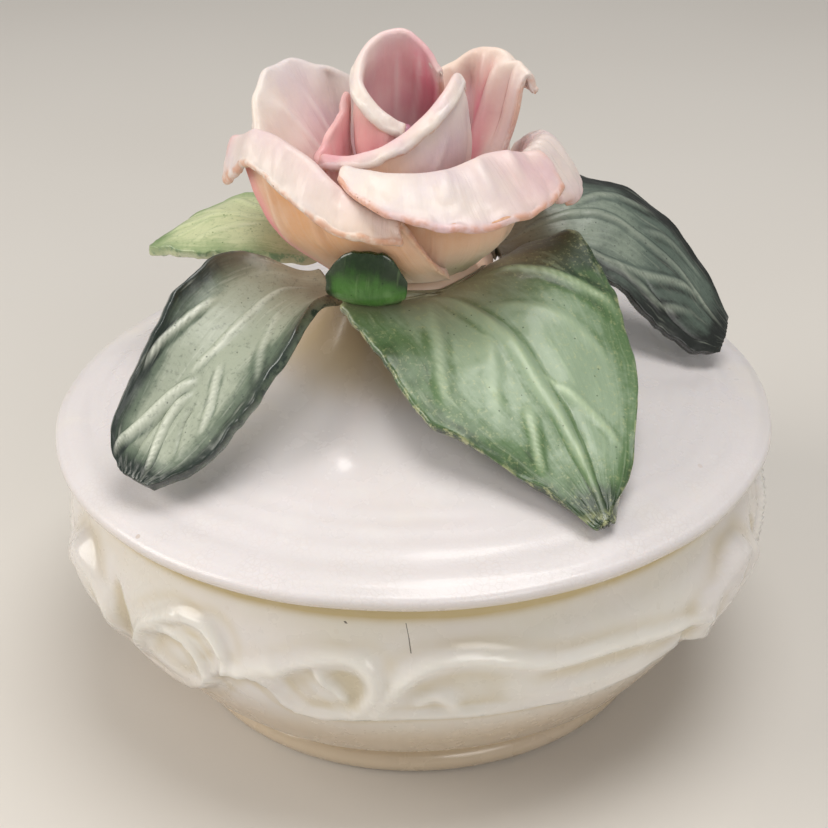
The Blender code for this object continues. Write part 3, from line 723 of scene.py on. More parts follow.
# Each petal runs up from the flower's base (v 0) past its belly (0.25) to its crest (0.5), and over into a lip
# (0.75) that may curl under (1). u runs round the flower, and the stations run anticlockwise seen from above:
# (azimuth, belly radius, crest radius, crest height, lip out, lip down, curl). Heights are above the boss.
# base: radius and height at the bottom. belly: share of the height where it is fullest. waist: share of its
# turn left at the base. sway: degrees from crest to base. pleats: how many, and their depth in millimetres.
# paint: (wash, face, u, v, spread in u, spread in v, strength), on the face "in", "out" or "both".
# creases: (points of (u, v), half-width, rise outwards, line of pale glaze), in millimetres.
PETALS = {
    "petal_bud": dict(base=(2.2, 4.9), belly=0.55, waist=0.9, sway=0, pleats=(7, 0.10), corner=0.06,
        stations=(
        (28, 5.6, 5.2, 25.6, 0.1, 0.0, 0.0), (58, 5.7, 4.4, 28.8, 0.2, 0.0, 0.0),
        (100, 5.8, 4.2, 30.6, 0.4, 0.0, 0.2),
        (150, 6.0, 4.9, 29.2, 0.6, 0.0, 0.4), (198, 6.1, 5.9, 26.2, 0.9, 0.2, 0.5),
        (236, 6.0, 5.5, 23.0, 1.0, 0.2, 0.5),
        (268, 5.6, 4.6, 21.0, 0.9, 0.2, 0.4)),
        paint=(("pink", "in", 0.25, 0.38, 0.5, 0.22, 0.60), ("mauve_fold_shade", "in", 0.35, 0.16, 0.8, 0.14, 0.40),
               ("pink", "out", 0.86, 0.28, 0.28, 0.20, 0.80), ("peach", "out", 0.75, 0.42, 0.25, 0.2, 0.28),
               ("pink", "both", 0.12, 0.55, 0.14, 0.4, 0.35), ("mauve_fold_shade", "in", 0.55, 0.34, 0.10, 0.12, 0.18)),
        creases=((((0.17, 0.50), (0.20, 0.38), (0.24, 0.26), (0.27, 0.12)), 0.40, -0.45, 0.5),
                 (((0.34, 0.44), (0.34, 0.34), (0.33, 0.24), (0.33, 0.12)), 0.35, -0.40, 0.6),
                 (((0.06, 0.48), (0.10, 0.36), (0.14, 0.24)), 0.5, 0.35, 0.0))),
    "petal_inner_left": dict(base=(3.6, 4.5), belly=0.6, waist=0.9, sway=0, pleats=(4, 0.16),
        corner=0.10, stations=(
        (166, 7.4, 7.4, 23.4, 0.3, 0.0, 0.0), (186, 7.8, 8.6, 20.6, 0.4, 0.0, 0.0),
        (204, 9.0, 12.0, 17.2, 0.4, 0.0, 0.0),
        (222, 8.6, 10.4, 16.8, 0.3, 0.0, 0.0), (246, 7.6, 7.8, 18.4, 0.3, 0.0, 0.0)),
        paint=(("pink", "both", 0.5, 0.5, 0.9, 0.8, 0.58), ("peach", "both", 0.6, 0.7, 0.6, 0.3, 0.35)),
        creases=((((0.3, 0.9), (0.35, 0.5), (0.4, 0.2)), 0.5, 0.4, 0.3),)),
    "petal_inner_front": dict(base=(5.0, 4.1), belly=0.6, waist=0.9, sway=0, pleats=(6, 0.10),
        corner=0.06, stations=(
        (213, 10.6, 12.2, 18.2, 1.0, 0.3, 0.3), (238, 10.2, 11.2, 19.0, 1.1, 0.3, 0.4),
        (262, 9.6, 9.5, 20.8, 1.2, 0.3, 0.5),
        (286, 9.2, 8.3, 23.2, 1.2, 0.4, 0.6), (314, 8.6, 7.2, 25.4, 1.0, 0.4, 0.5),
        (346, 8.2, 6.7, 26.4, 0.6, 0.3, 0.3),
        (372, 8.0, 6.9, 23.4, 0.3, 0.0, 0.0)),
        paint=(("peach", "out", 0.22, 0.36, 0.18, 0.16, 0.60), ("mauve_fold_shade", "out", 0.66, 0.30, 0.20, 0.15, 0.36),
               ("pink", "out", 0.60, 0.12, 0.4, 0.2, 0.40), ("pink", "both", 0.04, 0.65, 0.12, 0.3, 0.40),
               ("pink", "in", 0.3, 0.40, 0.6, 0.25, 0.55), ("mauve_fold_shade", "in", 0.5, 0.15, 0.8, 0.2, 0.8)),
        creases=((((0.44, 0.20), (0.52, 0.28), (0.62, 0.36)), 0.55, 0.35, 0.5),
                 (((0.70, 0.10), (0.80, 0.25), (0.84, 0.42)), 0.9, -0.30, 0.0))),
    "petal_back_left": dict(base=(6.4, 3.7), belly=0.42, waist=0.8, sway=0, pleats=(5, 0.20),
        corner=0.12, stations=(
        (112, 9.9, 12.0, 20.6, 0.8, -0.2, 0.0), (133, 10.2, 15.0, 23.6, 0.9, -0.3, 0.1),
        (150, 10.8, 18.0, 25.0, 0.9, -0.4, 0.3),
        (168, 11.6, 18.8, 23.0, 0.9, -0.4, 0.4), (183, 12.4, 18.4, 18.4, 0.9, -0.2, 0.3)),
        paint=(("pink", "in", 0.42, 0.24, 0.42, 0.14, 0.60), ("mauve_fold_shade", "in", 0.40, 0.40, 0.45, 0.20, 0.14),
               ("mauve_fold_shade", "in", 0.20, 0.22, 0.2, 0.2, 0.28), ("pink", "out", 0.5, 0.15, 0.8, 0.2, 0.35),
               ("peach", "both", 0.95, 0.35, 0.12, 0.3, 0.18)),
        creases=((((0.78, 0.50), (0.70, 0.42), (0.63, 0.33), (0.58, 0.18)), 0.50, -0.45, 0.5),
                 (((0.48, 0.44), (0.44, 0.34), (0.46, 0.20)), 0.45, -0.40, 0.5),
                 (((0.22, 0.55), (0.28, 0.38), (0.38, 0.18)), 0.9, 0.7, 0.0),
                 (((0.92, 0.50), (0.84, 0.36), (0.74, 0.20)), 0.7, 0.4, 0.0))),
    "petal_back_right": dict(base=(6.4, 3.7), belly=0.45, waist=1.2, sway=0, pleats=(4, 0.16),
        corner=0.08, stations=(
        (15, 12.4, 16.4, 24.4, 1.4, 1.6, 0.8), (28, 10.8, 14.8, 26.2, 1.2, 0.4, 0.8),
        (42, 10.0, 13.0, 26.4, 0.8, 0.0, 0.4),
        (62, 9.8, 11.0, 23.4, 0.8, -0.2, 0.0), (84, 9.8, 12.2, 20.8, 0.8, -0.2, 0.0)),
        paint=(("pink", "in", 0.34, 0.30, 0.10, 0.14, 0.85), ("peach", "both", 0.50, 0.46, 0.5, 0.2, 0.30),
               ("mauve_fold_shade", "in", 0.56, 0.26, 0.14, 0.18, 0.55), ("pink", "both", 0.5, 0.36, 0.6, 0.14, 0.30),
               ("mauve_fold_shade", "both", 0.18, 0.80, 0.2, 0.3, 0.14)),
        creases=((((0.20, 0.64), (0.24, 0.44), (0.29, 0.33), (0.38, 0.20)), 0.85, -1.25, 0.35),
                 (((0.60, 0.48), (0.52, 0.34), (0.46, 0.18)), 1.5, 1.1, 0.0),
                 (((0.12, 0.62), (0.15, 0.46), (0.17, 0.30)), 0.6, 0.8, 0.0),
                 (((0.40, 0.56), (0.38, 0.42)), 0.4, -0.45, 0.3), (((0.66, 0.54),
                 (0.60, 0.42)), 0.4, -0.40, 0.3))),
    "petal_outer_right": dict(base=(7.8, 3.3), belly=0.42, waist=0.8, sway=0, pleats=(9, 0.34),
        corner=0.10, stations=(
        (341, 12.2, 14.0, 15.6, 1.2, 1.0, 0.4), (350, 13.2, 16.4, 17.8, 4.4, 6.0, 1.2),
        (366, 13.8, 17.8, 17.6, 5.0, 7.0, 1.6),
        (380, 14.4, 18.2, 16.4, 4.4, 5.4, 1.4), (394, 14.2, 18.0, 13.4, 2.4, 2.4, 0.6)),
        paint=(("peach", "out", 0.5, 0.7, 0.9, 0.4, 1.0), ("mauve_fold_shade", "in", 0.45, 0.60, 0.5, 0.25, 0.13),
               ("pink", "in", 0.3, 0.92, 0.6, 0.16, 0.35), ("pink", "in", 0.5, 0.25, 0.8, 0.2, 0.5)),
        creases=((((0.55, 0.42), (0.46, 0.55), (0.36, 0.75)), 0.6, 0.5, 0.3),)),
    "petal_outer_front": dict(base=(9.2, 2.8), belly=0.36, waist=0.85, sway=0, pleats=(6, 0.16),
        corner=0.10, rim=0.76, stations=(
        (239, 12.0, 14.8, 18.8, 1.0, 0.4, 0.3), (262, 12.6, 15.2, 18.8, 4.8, 2.2, 0.2),
        (288, 13.6, 14.9, 18.8, 7.2, 4.0, 0.2),
        (314, 15.4, 14.8, 19.6, 6.6, 5.2, 0.3), (338, 14.4, 17.6, 18.2, 3.2, 3.6, 1.0)),
        paint=(("peach", "out", 0.45, 0.34, 0.9, 0.22, 0.66), ("peach", "out", 0.5, 0.8, 0.8, 0.3, 0.85),
               ("pink", "in", 0.88, 0.66, 0.22, 0.2, 0.28), ("mauve_fold_shade", "in", 0.55, 0.60, 0.4, 0.15, 0.12),
               ("pink", "in", 0.4, 0.86, 0.6, 0.10, 0.35), ("moss", "out", 0.75, 0.06, 0.3, 0.10, 0.65),
               ("pink", "in", 0.5, 0.25, 0.8, 0.2, 0.5)),
        creases=((((0.84, 0.48), (0.81, 0.56), (0.78, 0.66)), 0.55, 0.50, 0.5),
                 (((0.66, 0.48), (0.63, 0.57), (0.62, 0.68)), 0.55, 0.50, 0.5),
                 (((0.50, 0.50), (0.47, 0.58), (0.44, 0.68)), 0.6, 0.35, 0.3),
                 (((0.92, 0.50), (0.92, 0.62), (0.90, 0.76)), 0.6, -0.40, 0.0),
                 (((0.30, 0.52), (0.27, 0.62)), 0.7, -0.30, 0.0))),
    "petal_outer_left": dict(base=(11.9, 3.7), belly=0.36, waist=0.95, sway=30, pleats=(5, 0.14),
        corner=0.12, rim=0.76, stations=(
        (184, 18.4, 21.8, 19.4, 1.8, 5.0, 1.4), (202, 16.8, 18.8, 21.6, 2.5, 2.7, 0.3),
        (225, 16.0, 17.2, 20.2, 3.3, 3.3, 0.2),
        (247, 15.6, 17.4, 16.2, 3.1, 2.7, 0.2), (268, 15.2, 17.4, 13.4, 1.5, 1.3, 0.2)),
        paint=(("peach", "out", 0.45, 0.30, 0.9, 0.34, 0.80), ("pink", "both", 0.0, 0.28, 0.06, 0.3, 0.95),
               ("peach", "out", 0.5, 0.9, 0.9, 0.3, 0.85), ("pink", "in", 0.5, 0.25, 0.8, 0.3, 0.5),
               ("mauve_fold_shade", "in", 0.35, 0.62, 0.4, 0.2, 0.12), ("peach", "in", 0.85, 0.80, 0.2, 0.14, 0.35)),
        creases=((((0.22, 0.60), (0.18, 0.42), (0.12, 0.30), (0.04, 0.18)), 0.50, 0.55, 0.4),
                 (((0.45, 0.50), (0.40, 0.34), (0.34, 0.18)), 0.6, 0.35, 0.2),
                 (((0.98, 0.55), (0.86, 0.44), (0.74, 0.30)), 0.8, 0.45, 0.2),
                 (((0.42, 0.52), (0.43, 0.62), (0.46, 0.72)), 0.8, 0.45, 0.2),
                 (((0.70, 0.52), (0.72, 0.62)), 0.6, -0.4, 0.0))),
    "petal_outer_back_right": dict(
        base=(7.8, 3.3), belly=0.42, waist=0.85, sway=0, pleats=(6, 0.20), corner=0.14, stations=(
        (30, 12.6, 14.8, 13.2, 1.0, 0.6, 0.4), (50, 13.8, 17.4, 16.4, 2.0, 1.4, 0.8),
        (72, 14.2, 18.4, 17.6, 2.2, 1.8, 1.0),
        (94, 13.8, 17.4, 16.0, 2.0, 1.4, 0.8), (112, 13.0, 15.2, 12.6, 0.6, 0.4, 0.4)),
        paint=(("peach", "out", 0.5, 0.35, 0.8, 0.3, 0.60), ("pink", "in", 0.5, 0.3, 0.8, 0.3, 0.5),
               ("pink", "out", 0.5, 0.05, 0.8, 0.2, 0.35), ("mauve_fold_shade", "in", 0.4, 0.6, 0.5, 0.2, 0.12)),
        creases=((((0.30, 0.60), (0.34, 0.40), (0.42, 0.18)), 0.5, 0.45, 0.4),
                 (((0.62, 0.58), (0.58, 0.38), (0.54, 0.20)), 0.6, 0.40, 0.3))),
    "petal_outer_back_left": dict(
        base=(9.2, 2.8), belly=0.42, waist=0.8, sway=0, pleats=(6, 0.20), corner=0.14, stations=(
        (98, 15.2, 18.6, 11.4, 1.2, 0.8, 0.4), (120, 15.2, 19.4, 16.4, 2.0, 1.4, 0.8),
        (144, 15.6, 20.0, 17.6, 2.2, 1.8, 1.0),
        (168, 15.6, 19.4, 15.8, 2.0, 1.4, 0.8), (187, 14.6, 17.4, 12.4, 1.2, 0.8, 0.4)),
        paint=(("peach", "out", 0.5, 0.35, 0.8, 0.3, 0.62), ("pink", "in", 0.5, 0.3, 0.8, 0.3, 0.5),
               ("pink", "out", 0.3, 0.05, 0.8, 0.2, 0.30), ("mauve_fold_shade", "in", 0.6, 0.6, 0.5, 0.2, 0.12)),
        creases=((((0.36, 0.60), (0.38, 0.40), (0.44, 0.18)), 0.5, 0.45, 0.4),
                 (((0.70, 0.58), (0.64, 0.38), (0.56, 0.20)), 0.6, 0.40, 0.3))),
}
WASHES = ("pink", "peach", "mauve_fold_shade", "moss")


def petal_point(petal, u, v):
    """The petal's middle surface in millimetres: u runs round the flower and v from its base to its lip."""
    azimuths, bellies, radii, heights, outs, downs, curls = zip(*petal["stations"])
    base_radius, base_height = petal["base"]
    middle = (azimuths[0] + azimuths[-1]) / 2
    azimuth = along(azimuths, u)
    low_azimuth = middle + petal["sway"] + petal["waist"] * (azimuth - middle)
    radius, height = along(radii, u), along(heights, u)
    out, down, curl = along(outs, u), along(downs, u), along(curls, u)
    belly_height = base_height + petal["belly"] * (height - base_height)
    profile = (
        Vector((low_azimuth, base_radius, base_height)),
        Vector(((azimuth + low_azimuth) / 2, along(bellies, u), belly_height)),
        Vector((azimuth, radius, height)),
        Vector((azimuth, radius + out, height - down)),
        Vector((azimuth, radius + out - curl * 0.45, height - down - curl)),
    )
    azimuth, radius, height = along(profile, v)
    return polar(azimuth, radius, height + BOSS_TOP)


def petal_reach(petal, u, seed):
    """How far up a petal's outline goes: rounded at the corners, and a little ragged."""
    corner = petal["corner"] * abs(2 * u - 1) ** 7
    ragged = 0.05 * noise.noise(Vector((u * 9, seed, 0))) + 0.02 * noise.noise(Vector((u * 29, seed, 5)))
    return 1 - corner - abs(ragged)


def petal_sway(v, seed):
    """How far a side edge wanders in or out."""
    return 0.020 * noise.noise(Vector((v * 6, seed, 9))) + 0.008 * noise.noise(Vector((v * 21, seed, 2)))


def sheet(columns, rows, point, wall, creases, wide, tall):
    """A closed sheet round point(u, v, crease), this many millimetres wide and tall.

    Returns a bmesh, which carries each vertex's line of colour and painted valley shade, and for each vertex its
    (u, v) and its face (1 out, 0 in).
    """
    bm = bmesh.new()
    bmesh.ops.create_grid(bm, x_segments=columns, y_segments=rows, size=0.5)
    uv = [(v.co.x + 0.5, v.co.y + 0.5) for v in bm.verts]
    lifts, lines, valley_shades = crease_field(creases, uv, wide, tall)
    middles = [point(u, v, lift) for (u, v), lift in zip(uv, lifts)]
    set_places(bm, middles)
    bm.normal_update()
    normals = [v.normal.copy() for v in bm.verts]
    bmesh.ops.solidify(bm, geom=bm.faces[:], thickness=0.2)
    count = len(uv)
    bm.verts.ensure_lookup_table()
    first, second = ((bm.verts[i].co - middles[0]).dot(normals[0]) for i in (0, count))
    face = [int((i < count) == (first > second)) for i in range(2 * count)]
    for i, vertex in enumerate(bm.verts):
        k = i % count
        vertex.co = middles[k] + normals[k] * (wall(*uv[k]) * (face[i] - 0.5))
    bmesh.ops.recalc_face_normals(bm, faces=bm.faces)
    lay_out(bm, uv * 2, wide, tall)
    mark(bm, "line", [*lines, *lines])
    mark(bm, "valley_shade", [*valley_shades, *valley_shades])
    return bm, uv * 2, face


def crease_field(creases, uv, wide, tall):
    """How far folds and veins lift a sheet at each place, with the pale lines on them and the painted shade beside
    them.
    """
    places = np.array(uv) * (wide, tall)
    lift, colour, dark = np.zeros(len(uv)), np.zeros(len(uv)), np.zeros(len(uv))
    for points, width, rise, line in creases:
        guide = [Vector((u * wide, v * tall)) for u, v in points]
        distance, share = nearest(places, [along(guide, i / 14) for i in range(15)])
        taper = np.clip(5 * np.minimum(share, 1 - share) + 0.15, 0, 1)
        lift += rise * taper * np.exp(-(distance / width) ** 2)
        colour = np.maximum(colour, line * taper * np.exp(-(distance / 0.26) ** 2))
        # Painted shade: darkening along sunk folds and in the grooves beside raised veins.
        away = distance if rise < 0 else distance - width * 1.7
        dark = np.maximum(dark, min(abs(rise), 0.6) * taper * np.exp(-(away / (width * 0.7)) ** 2))
    return lift, colour, dark


def lay_out(bm, uv, wide, tall):
    """Stores where each vertex lies on its sheet, in millimetres, for brush strokes to follow."""
    layer = bm.verts.layers.float_vector.new("lie")
    for vertex, (u, v) in zip(bm.verts, uv):
        vertex[layer] = (u * wide, v * tall, 0)


def wash_of(petal, u, v, face):
    """How much of each colour is washed on at a place."""
    amounts = dict.fromkeys(WASHES, 0.0)
    for wash, side, mid_u, mid_v, wide, tall, strength in petal["paint"]:
        if side == "both" or (side == "out") == bool(face):
            amounts[wash] += strength * math.exp(-((u - mid_u) / wide) ** 2 - ((v - mid_v) / tall) ** 2)
    return [min(amounts[w], 1.0) for w in WASHES]


def build_petal(name, petal, rose, glaze, seed):
    count, depth = petal["pleats"]
    stations = petal["stations"]
    wide = math.radians(stations[-1][0] - stations[0][0]) * sum(row[2] for row in stations) / len(stations)
    tall = SHEET_TALL

    def point(u, v, crease):
        u = 0.5 + (u - 0.5) * (1 + petal_sway(v, seed))
        v *= petal_reach(petal, u, seed)
        place = petal_point(petal, u, v)
        outward = (place - Vector((0, 0, place.z))).normalized()
        lip = float(ease(0.42, 0.62, v))
        drift = 0.05 * noise.noise(Vector((v * 3, seed, 1))) + 0.06 * noise.noise(Vector((u * 3, seed, 7)))
        fold = depth * math.cos(2 * math.pi * count * (u + drift))
        fold *= 1 + 0.9 * noise.noise(Vector((u * 4, seed, 3)))
        soft = wobble(place, 6.0, seed) * 0.40 * (0.3 + 0.7 * min(v * 2, 1)) + 0.12 * wobble(place, 2.4, seed)
        crackle = 0.42 * wobble(place, 1.0, seed) * float(ease(0.55, 0.80, v))
        lift = fold * (0.3 + 0.7 * min(v * 2, 1)) + soft + crackle + crease
        return place + outward * lift * (1 - 0.6 * lip) + Vector((0, 0, lift * 0.8 * lip))

    def wall(u, v):
        body, lip = rose.petal_wall / MM, rose.petal_edge / MM
        swell = float(ease(0.55, 0.95, v)) * (0.75 + 0.4 * noise.noise(Vector((u * 9, seed, 4))))
        side = float(ease(0.86, 1.0, abs(2 * u - 1)))
        rough = 0.14 * noise.noise(Vector((u * wide / 0.9, v * tall / 0.9, seed))) * max(side, swell)
        return body + (lip - body) * max(swell, 0.4 * side) + 0.5 * float(ease(0.15, 0.0, v)) + rough

    bm, uv, face = sheet(56, 46, point, wall, petal["creases"], wide, tall)
    mark_wash(bm, [wash_of(petal, u, v, side) for (u, v), side in zip(uv, face)])
    rim = petal.get("rim", 0.82)
    mark(bm, "edge", [
        max(float(ease(rim, rim + 0.08, v)), 0.7 * float(ease(0.93, 1.0, abs(2 * u - 1)))) for u, v in uv])
    return round_off(new_piece(name + "_clay", bm, "lid", [name], [glaze]))


# The heart's mauve is painted shade deep in the flower.
HEART_WASH = (0.75, 0.1, 0.55, 0.0)    # pink, peach, mauve, moss
BASE_WASH = (0.10, 0.42, 0.0, 0.15)


def build_heart(glaze):
    """The rolled cone that the first petal is wrapped round."""
    profile = [(0, 20.4), (0.7, 20.2), (1.3, 19.2), (1.9, 16.5), (2.4, 13.0), (2.1, 9.0), (1.7, 5.6),
    (1.2, 4.6), (0, 4.5)]
    bm = spun([(r, z + BOSS_TOP) for r, z in profile], 40)
    for vertex in bm.verts:
        height = vertex.co.z - BOSS_TOP
        roll = math.sin(math.atan2(vertex.co.y, vertex.co.x) + height * 0.55)
        vertex.co.xy *= 1 + 0.14 * roll
    mark_wash(bm, [HEART_WASH] * len(bm.verts))
    return round_off(new_piece("rose_heart_clay", bm, "lid", ["rose_heart"], [glaze]))


def build_base(glaze):
    """The lump of clay under the petals, pressed out unevenly where they and the leaves join it."""
    reach = BOSS_RADIUS + BASE_LAP
    profile = [(0, 4.4), (3, 4.2), (6, 3.9), (8.4, 3.4), (10.2, 2.7), (reach + 0.4, 1.7), (reach + 0.5, 0.8),
               (reach, -0.1), (reach - 1.4, -0.8), (6, -0.8), (0, -0.8)]
    bm = spun([(r, z + BOSS_TOP) for r, z in profile], 72)
    for vertex in bm.verts:
        push = 1 + 0.05 * wobble(vertex.co, 5.0, 8.0)
        vertex.co.xy *= push
        vertex.co.z += 0.35 * wobble(vertex.co, 4.0, 4.0) * float(ease(3, 8, vertex.co.xy.length))
    mark_wash(bm, [BASE_WASH] * len(bm.verts))
    return round_off(new_piece("rose_base_clay", bm, "lid", ["rose_base"], [glaze]))


# ---------------------------------------------------------------- leaves

# A leaf lies over ribs from root to tip. A rib is its left, middle and right point, each (x, y, height above
# the lid), seen from the root towards the tip. colours: pale, green, dark, edge, vein. shade: how dark it is in
# the middle and at its edge. tones: (u, v, spread in u, spread in v, darker by). creases as for petals, upwards.
LEAVES = {
    "leaf_front_left": dict(ribs=(
        ((-8.0, -9.4, 5.1), (-9.7, -7.7, 5.2), (-11.4, -4.8, 6.6)),
        ((-12.0, -15.0, 11.6), (-16.5, -10.0, 10.9), (-23.5, -4.6, 17.5)),
        ((-16.8, -24.0, 10.8), (-23.5, -17.0, 11.5), (-29.8, -12.0, 17.6)),
        ((-21.6, -29.2, 7.6), (-28.6, -22.8, 8.8), (-33.8, -19.8, 13.8)),
        ((-27.2, -31.8, 4.4), (-32.4, -27.4, 5.9), (-37.6, -25.2, 8.9)),
        ((-32.4, -31.6, 3.1), (-34.6, -30.2, 3.5), (-36.6, -28.6, 4.2))),
        colours=("A5AD9A", "647260", "1B2922", "1E2E28", "DDE1D2"), shade=(0.20, 1.0),
        # The last tone lightens the lower middle of this leaf: a painted silver highlight.
        tones=((0.95, 0.30, 0.2, 0.3, 0.20), (0.5, 0.98, 0.7, 0.16, 0.30), (0.50, 0.26, 0.5, 0.3, -0.35),
               (0.55, 0.74, 0.25, 0.14, -0.30)),
        creases=((((0.94, 0.62), (0.89, 0.53), (0.82, 0.45), (0.78, 0.34)), 0.53, 0.44, 0.9),
                 (((0.94, 0.92), (0.72, 0.78), (0.57, 0.62), (0.49, 0.54)), 0.59, 0.76, 0.9),
                 (((0.62, 0.90), (0.60, 0.76), (0.52, 0.63)), 0.59, -0.60, 0.0),
                 (((0.36, 0.92), (0.44, 0.80), (0.49, 0.68), (0.46, 0.58)), 0.53, 0.60, 0.9),
                 (((0.18, 0.66), (0.29, 0.55), (0.40, 0.46)), 0.46, 0.44, 0.7),
                 (((0.20, 0.80), (0.34, 0.68), (0.38, 0.58)), 0.59, -0.40, 0.0),
                 (((0.56, 0.54), (0.52, 0.44), (0.54, 0.34), (0.55, 0.10)), 0.46, 0.28, 0.8),
                 (((0.05, 0.45), (0.22, 0.36), (0.38, 0.24)), 0.53, 0.28, 0.4))),
    "leaf_front_right": dict(ribs=(
        ((-7.0, -9.8, 4.5), (2.8, -12.0, 4.7), (11.6, -3.6, 5.2)),
        ((-8.8, -14.2, 9.4), (8.0, -12.6, 7.6), (20.6, 2.8, 14.6)),
        ((-3.8, -20.8, 8.2), (12.6, -17.0, 9.4), (26.4, -4.8, 13.2)),
        ((1.2, -28.8, 6.2), (17.0, -25.0, 7.1), (28.4, -17.0, 6.8)),
        ((11.6, -34.0, 3.7), (20.2, -33.0, 4.1), (27.0, -29.0, 4.3)),
        ((21.6, -40.4, 1.4), (22.4, -40.2, 1.6), (23.2, -39.8, 1.7))),
        colours=("92A78A", "567448", "1C3417", "BCC08C", "BACDA8"), shade=(0.38, 0.90),
        tones=((0.55, 0.98, 0.6, 0.13, 0.80), (0.10, 0.60, 0.25, 0.30, 0.22), (0.95, 0.12, 0.35, 0.24, 1.10),
               (0.62, 0.45, 0.25, 0.25, -0.22), (0.40, 0.40, 0.12, 0.3, -0.10),
               (0.35, 0.80, 0.25, 0.15, 0.30)),
        creases=((((0.42, 0.04), (0.44, 0.28), (0.46, 0.41), (0.47, 0.52), (0.48, 0.66), (0.50, 0.78),
        (0.55, 0.98)),
                  0.70, 0.62, 0.60),
                 (((0.53, 0.30), (0.54, 0.45), (0.55, 0.62), (0.58, 0.80)), 0.73, -0.44, 0.0),
                 (((0.50, 0.54), (0.55, 0.58), (0.62, 0.64), (0.71, 0.71), (0.84, 0.79)), 0.46, 0.32, 0.8),
                 (((0.72, 0.10), (0.76, 0.22), (0.85, 0.37), (0.97, 0.48)), 0.53, 0.44, 0.8),
                 (((0.34, 0.16), (0.26, 0.32), (0.17, 0.46), (0.10, 0.58)), 0.59, 0.36, 0.5),
                 (((0.38, 0.62), (0.30, 0.72), (0.16, 0.82)), 0.46, 0.36, 0.8),
                 (((0.44, 0.34), (0.34, 0.50), (0.22, 0.66)), 0.59, 0.24, 0.3),
                 (((0.52, 0.26), (0.66, 0.38), (0.86, 0.58)), 0.53, 0.24, 0.4))),
    "leaf_right": dict(ribs=(
        ((9.6, 7.4, 5.0), (11.6, 3.6, 4.6), (12.0, -0.6, 4.8)),
        ((17.0, 15.0, 16.6), (18.6, 8.0, 13.2), (19.8, 5.8, 10.6)),
        ((25.2, 18.2, 19.7), (27.0, 10.4, 16.0), (28.6, 3.2, 8.7)),
        ((34.8, 16.6, 17.2), (35.4, 8.6, 12.7), (34.6, 0.8, 4.3)),
        ((41.6, 12.0, 11.4), (41.2, 5.6, 7.2), (39.8, -0.2, 2.5)),
        ((45.2, 7.0, 5.6), (44.6, 4.4, 4.0), (43.2, 1.8, 2.2))),
        colours=("8B9788", "56645A", "181D19", "232A25", "A4AC9C"), shade=(0.42, 1.0),
        tones=((0.6, 0.25, 0.5, 0.25, -0.28), (0.8, 0.90, 0.5, 0.25, 0.40), (0.1, 0.5, 0.2, 0.5, 0.20)),
        creases=((((0.80, 0.24), (0.86, 0.33), (0.85, 0.43), (0.76, 0.54), (0.60, 0.68),
        (0.46, 0.80)), 0.53, 0.40, 0.8),
                 (((0.88, 0.38), (0.86, 0.49), (0.87, 0.59), (0.71, 0.75)), 0.46, 0.32, 0.6),
                 (((0.50, 0.06), (0.49, 0.37), (0.51, 0.55), (0.50, 0.76), (0.52, 0.95)), 0.59, 0.36, 0.6),
                 (((0.40, 0.30), (0.26, 0.44), (0.14, 0.60)), 0.53, 0.32, 0.5),
                 (((0.42, 0.54), (0.30, 0.66), (0.22, 0.80)), 0.53, 0.32, 0.4),
                 (((0.78, 0.50), (0.88, 0.66), (0.86, 0.84)), 0.66, -0.40, 0.0))),
    "leaf_back_left": dict(ribs=(
        ((-11.6, 2.6, 4.7), (-10.6, 5.8, 4.6), (-7.8, 9.4, 5.1)),
        ((-19.4, 3.6, 11.1), (-17.6, 9.4, 13.4), (-14.2, 15.6, 15.0)),
        ((-27.2, 4.4, 13.8), (-25.2, 11.4, 16.8), (-21.2, 18.4, 17.3)),
        ((-32.8, 6.8, 15.1), (-31.0, 12.4, 16.6), (-28.2, 17.6, 16.8)),
        ((-36.8, 9.6, 15.5), (-35.8, 10.9, 15.6), (-34.8, 12.2, 15.4))),
        colours=("C6CCA2", "98A97C", "52703E", "5A7A50", "D0D8B0"), shade=(0.05, 0.50),
        tones=((0.5, 0.95, 0.6, 0.2, 0.30),),
        creases=((((0.50, 0.04), (0.50, 0.40), (0.48, 0.70), (0.50, 0.95)), 0.53, 0.36, 0.6),
                 (((0.45, 0.30), (0.30, 0.48), (0.14, 0.62)), 0.46, 0.28, 0.5),
                 (((0.55, 0.26), (0.70, 0.44), (0.86, 0.60)), 0.46, 0.28, 0.5),
                 (((0.46, 0.56), (0.34, 0.70), (0.22, 0.80)), 0.40, 0.24, 0.4),
                 (((0.54, 0.54), (0.68, 0.68), (0.78, 0.80)), 0.40, 0.24, 0.4))),
}


def leaf_point(ribs, u, v):
    """The leaf's middle surface in millimetres: u runs across it and v from root to tip."""
    left, middle, right = (along([Vector(rib[side]) for rib in ribs], v) for side in range(3))
    across = 2 * u - 1
    point = middle + (right - left) * (across / 2) + ((left + right) / 2 - middle) * across**2
    radius = point.xy.length
    point.z += lid_height(radius)
    return point


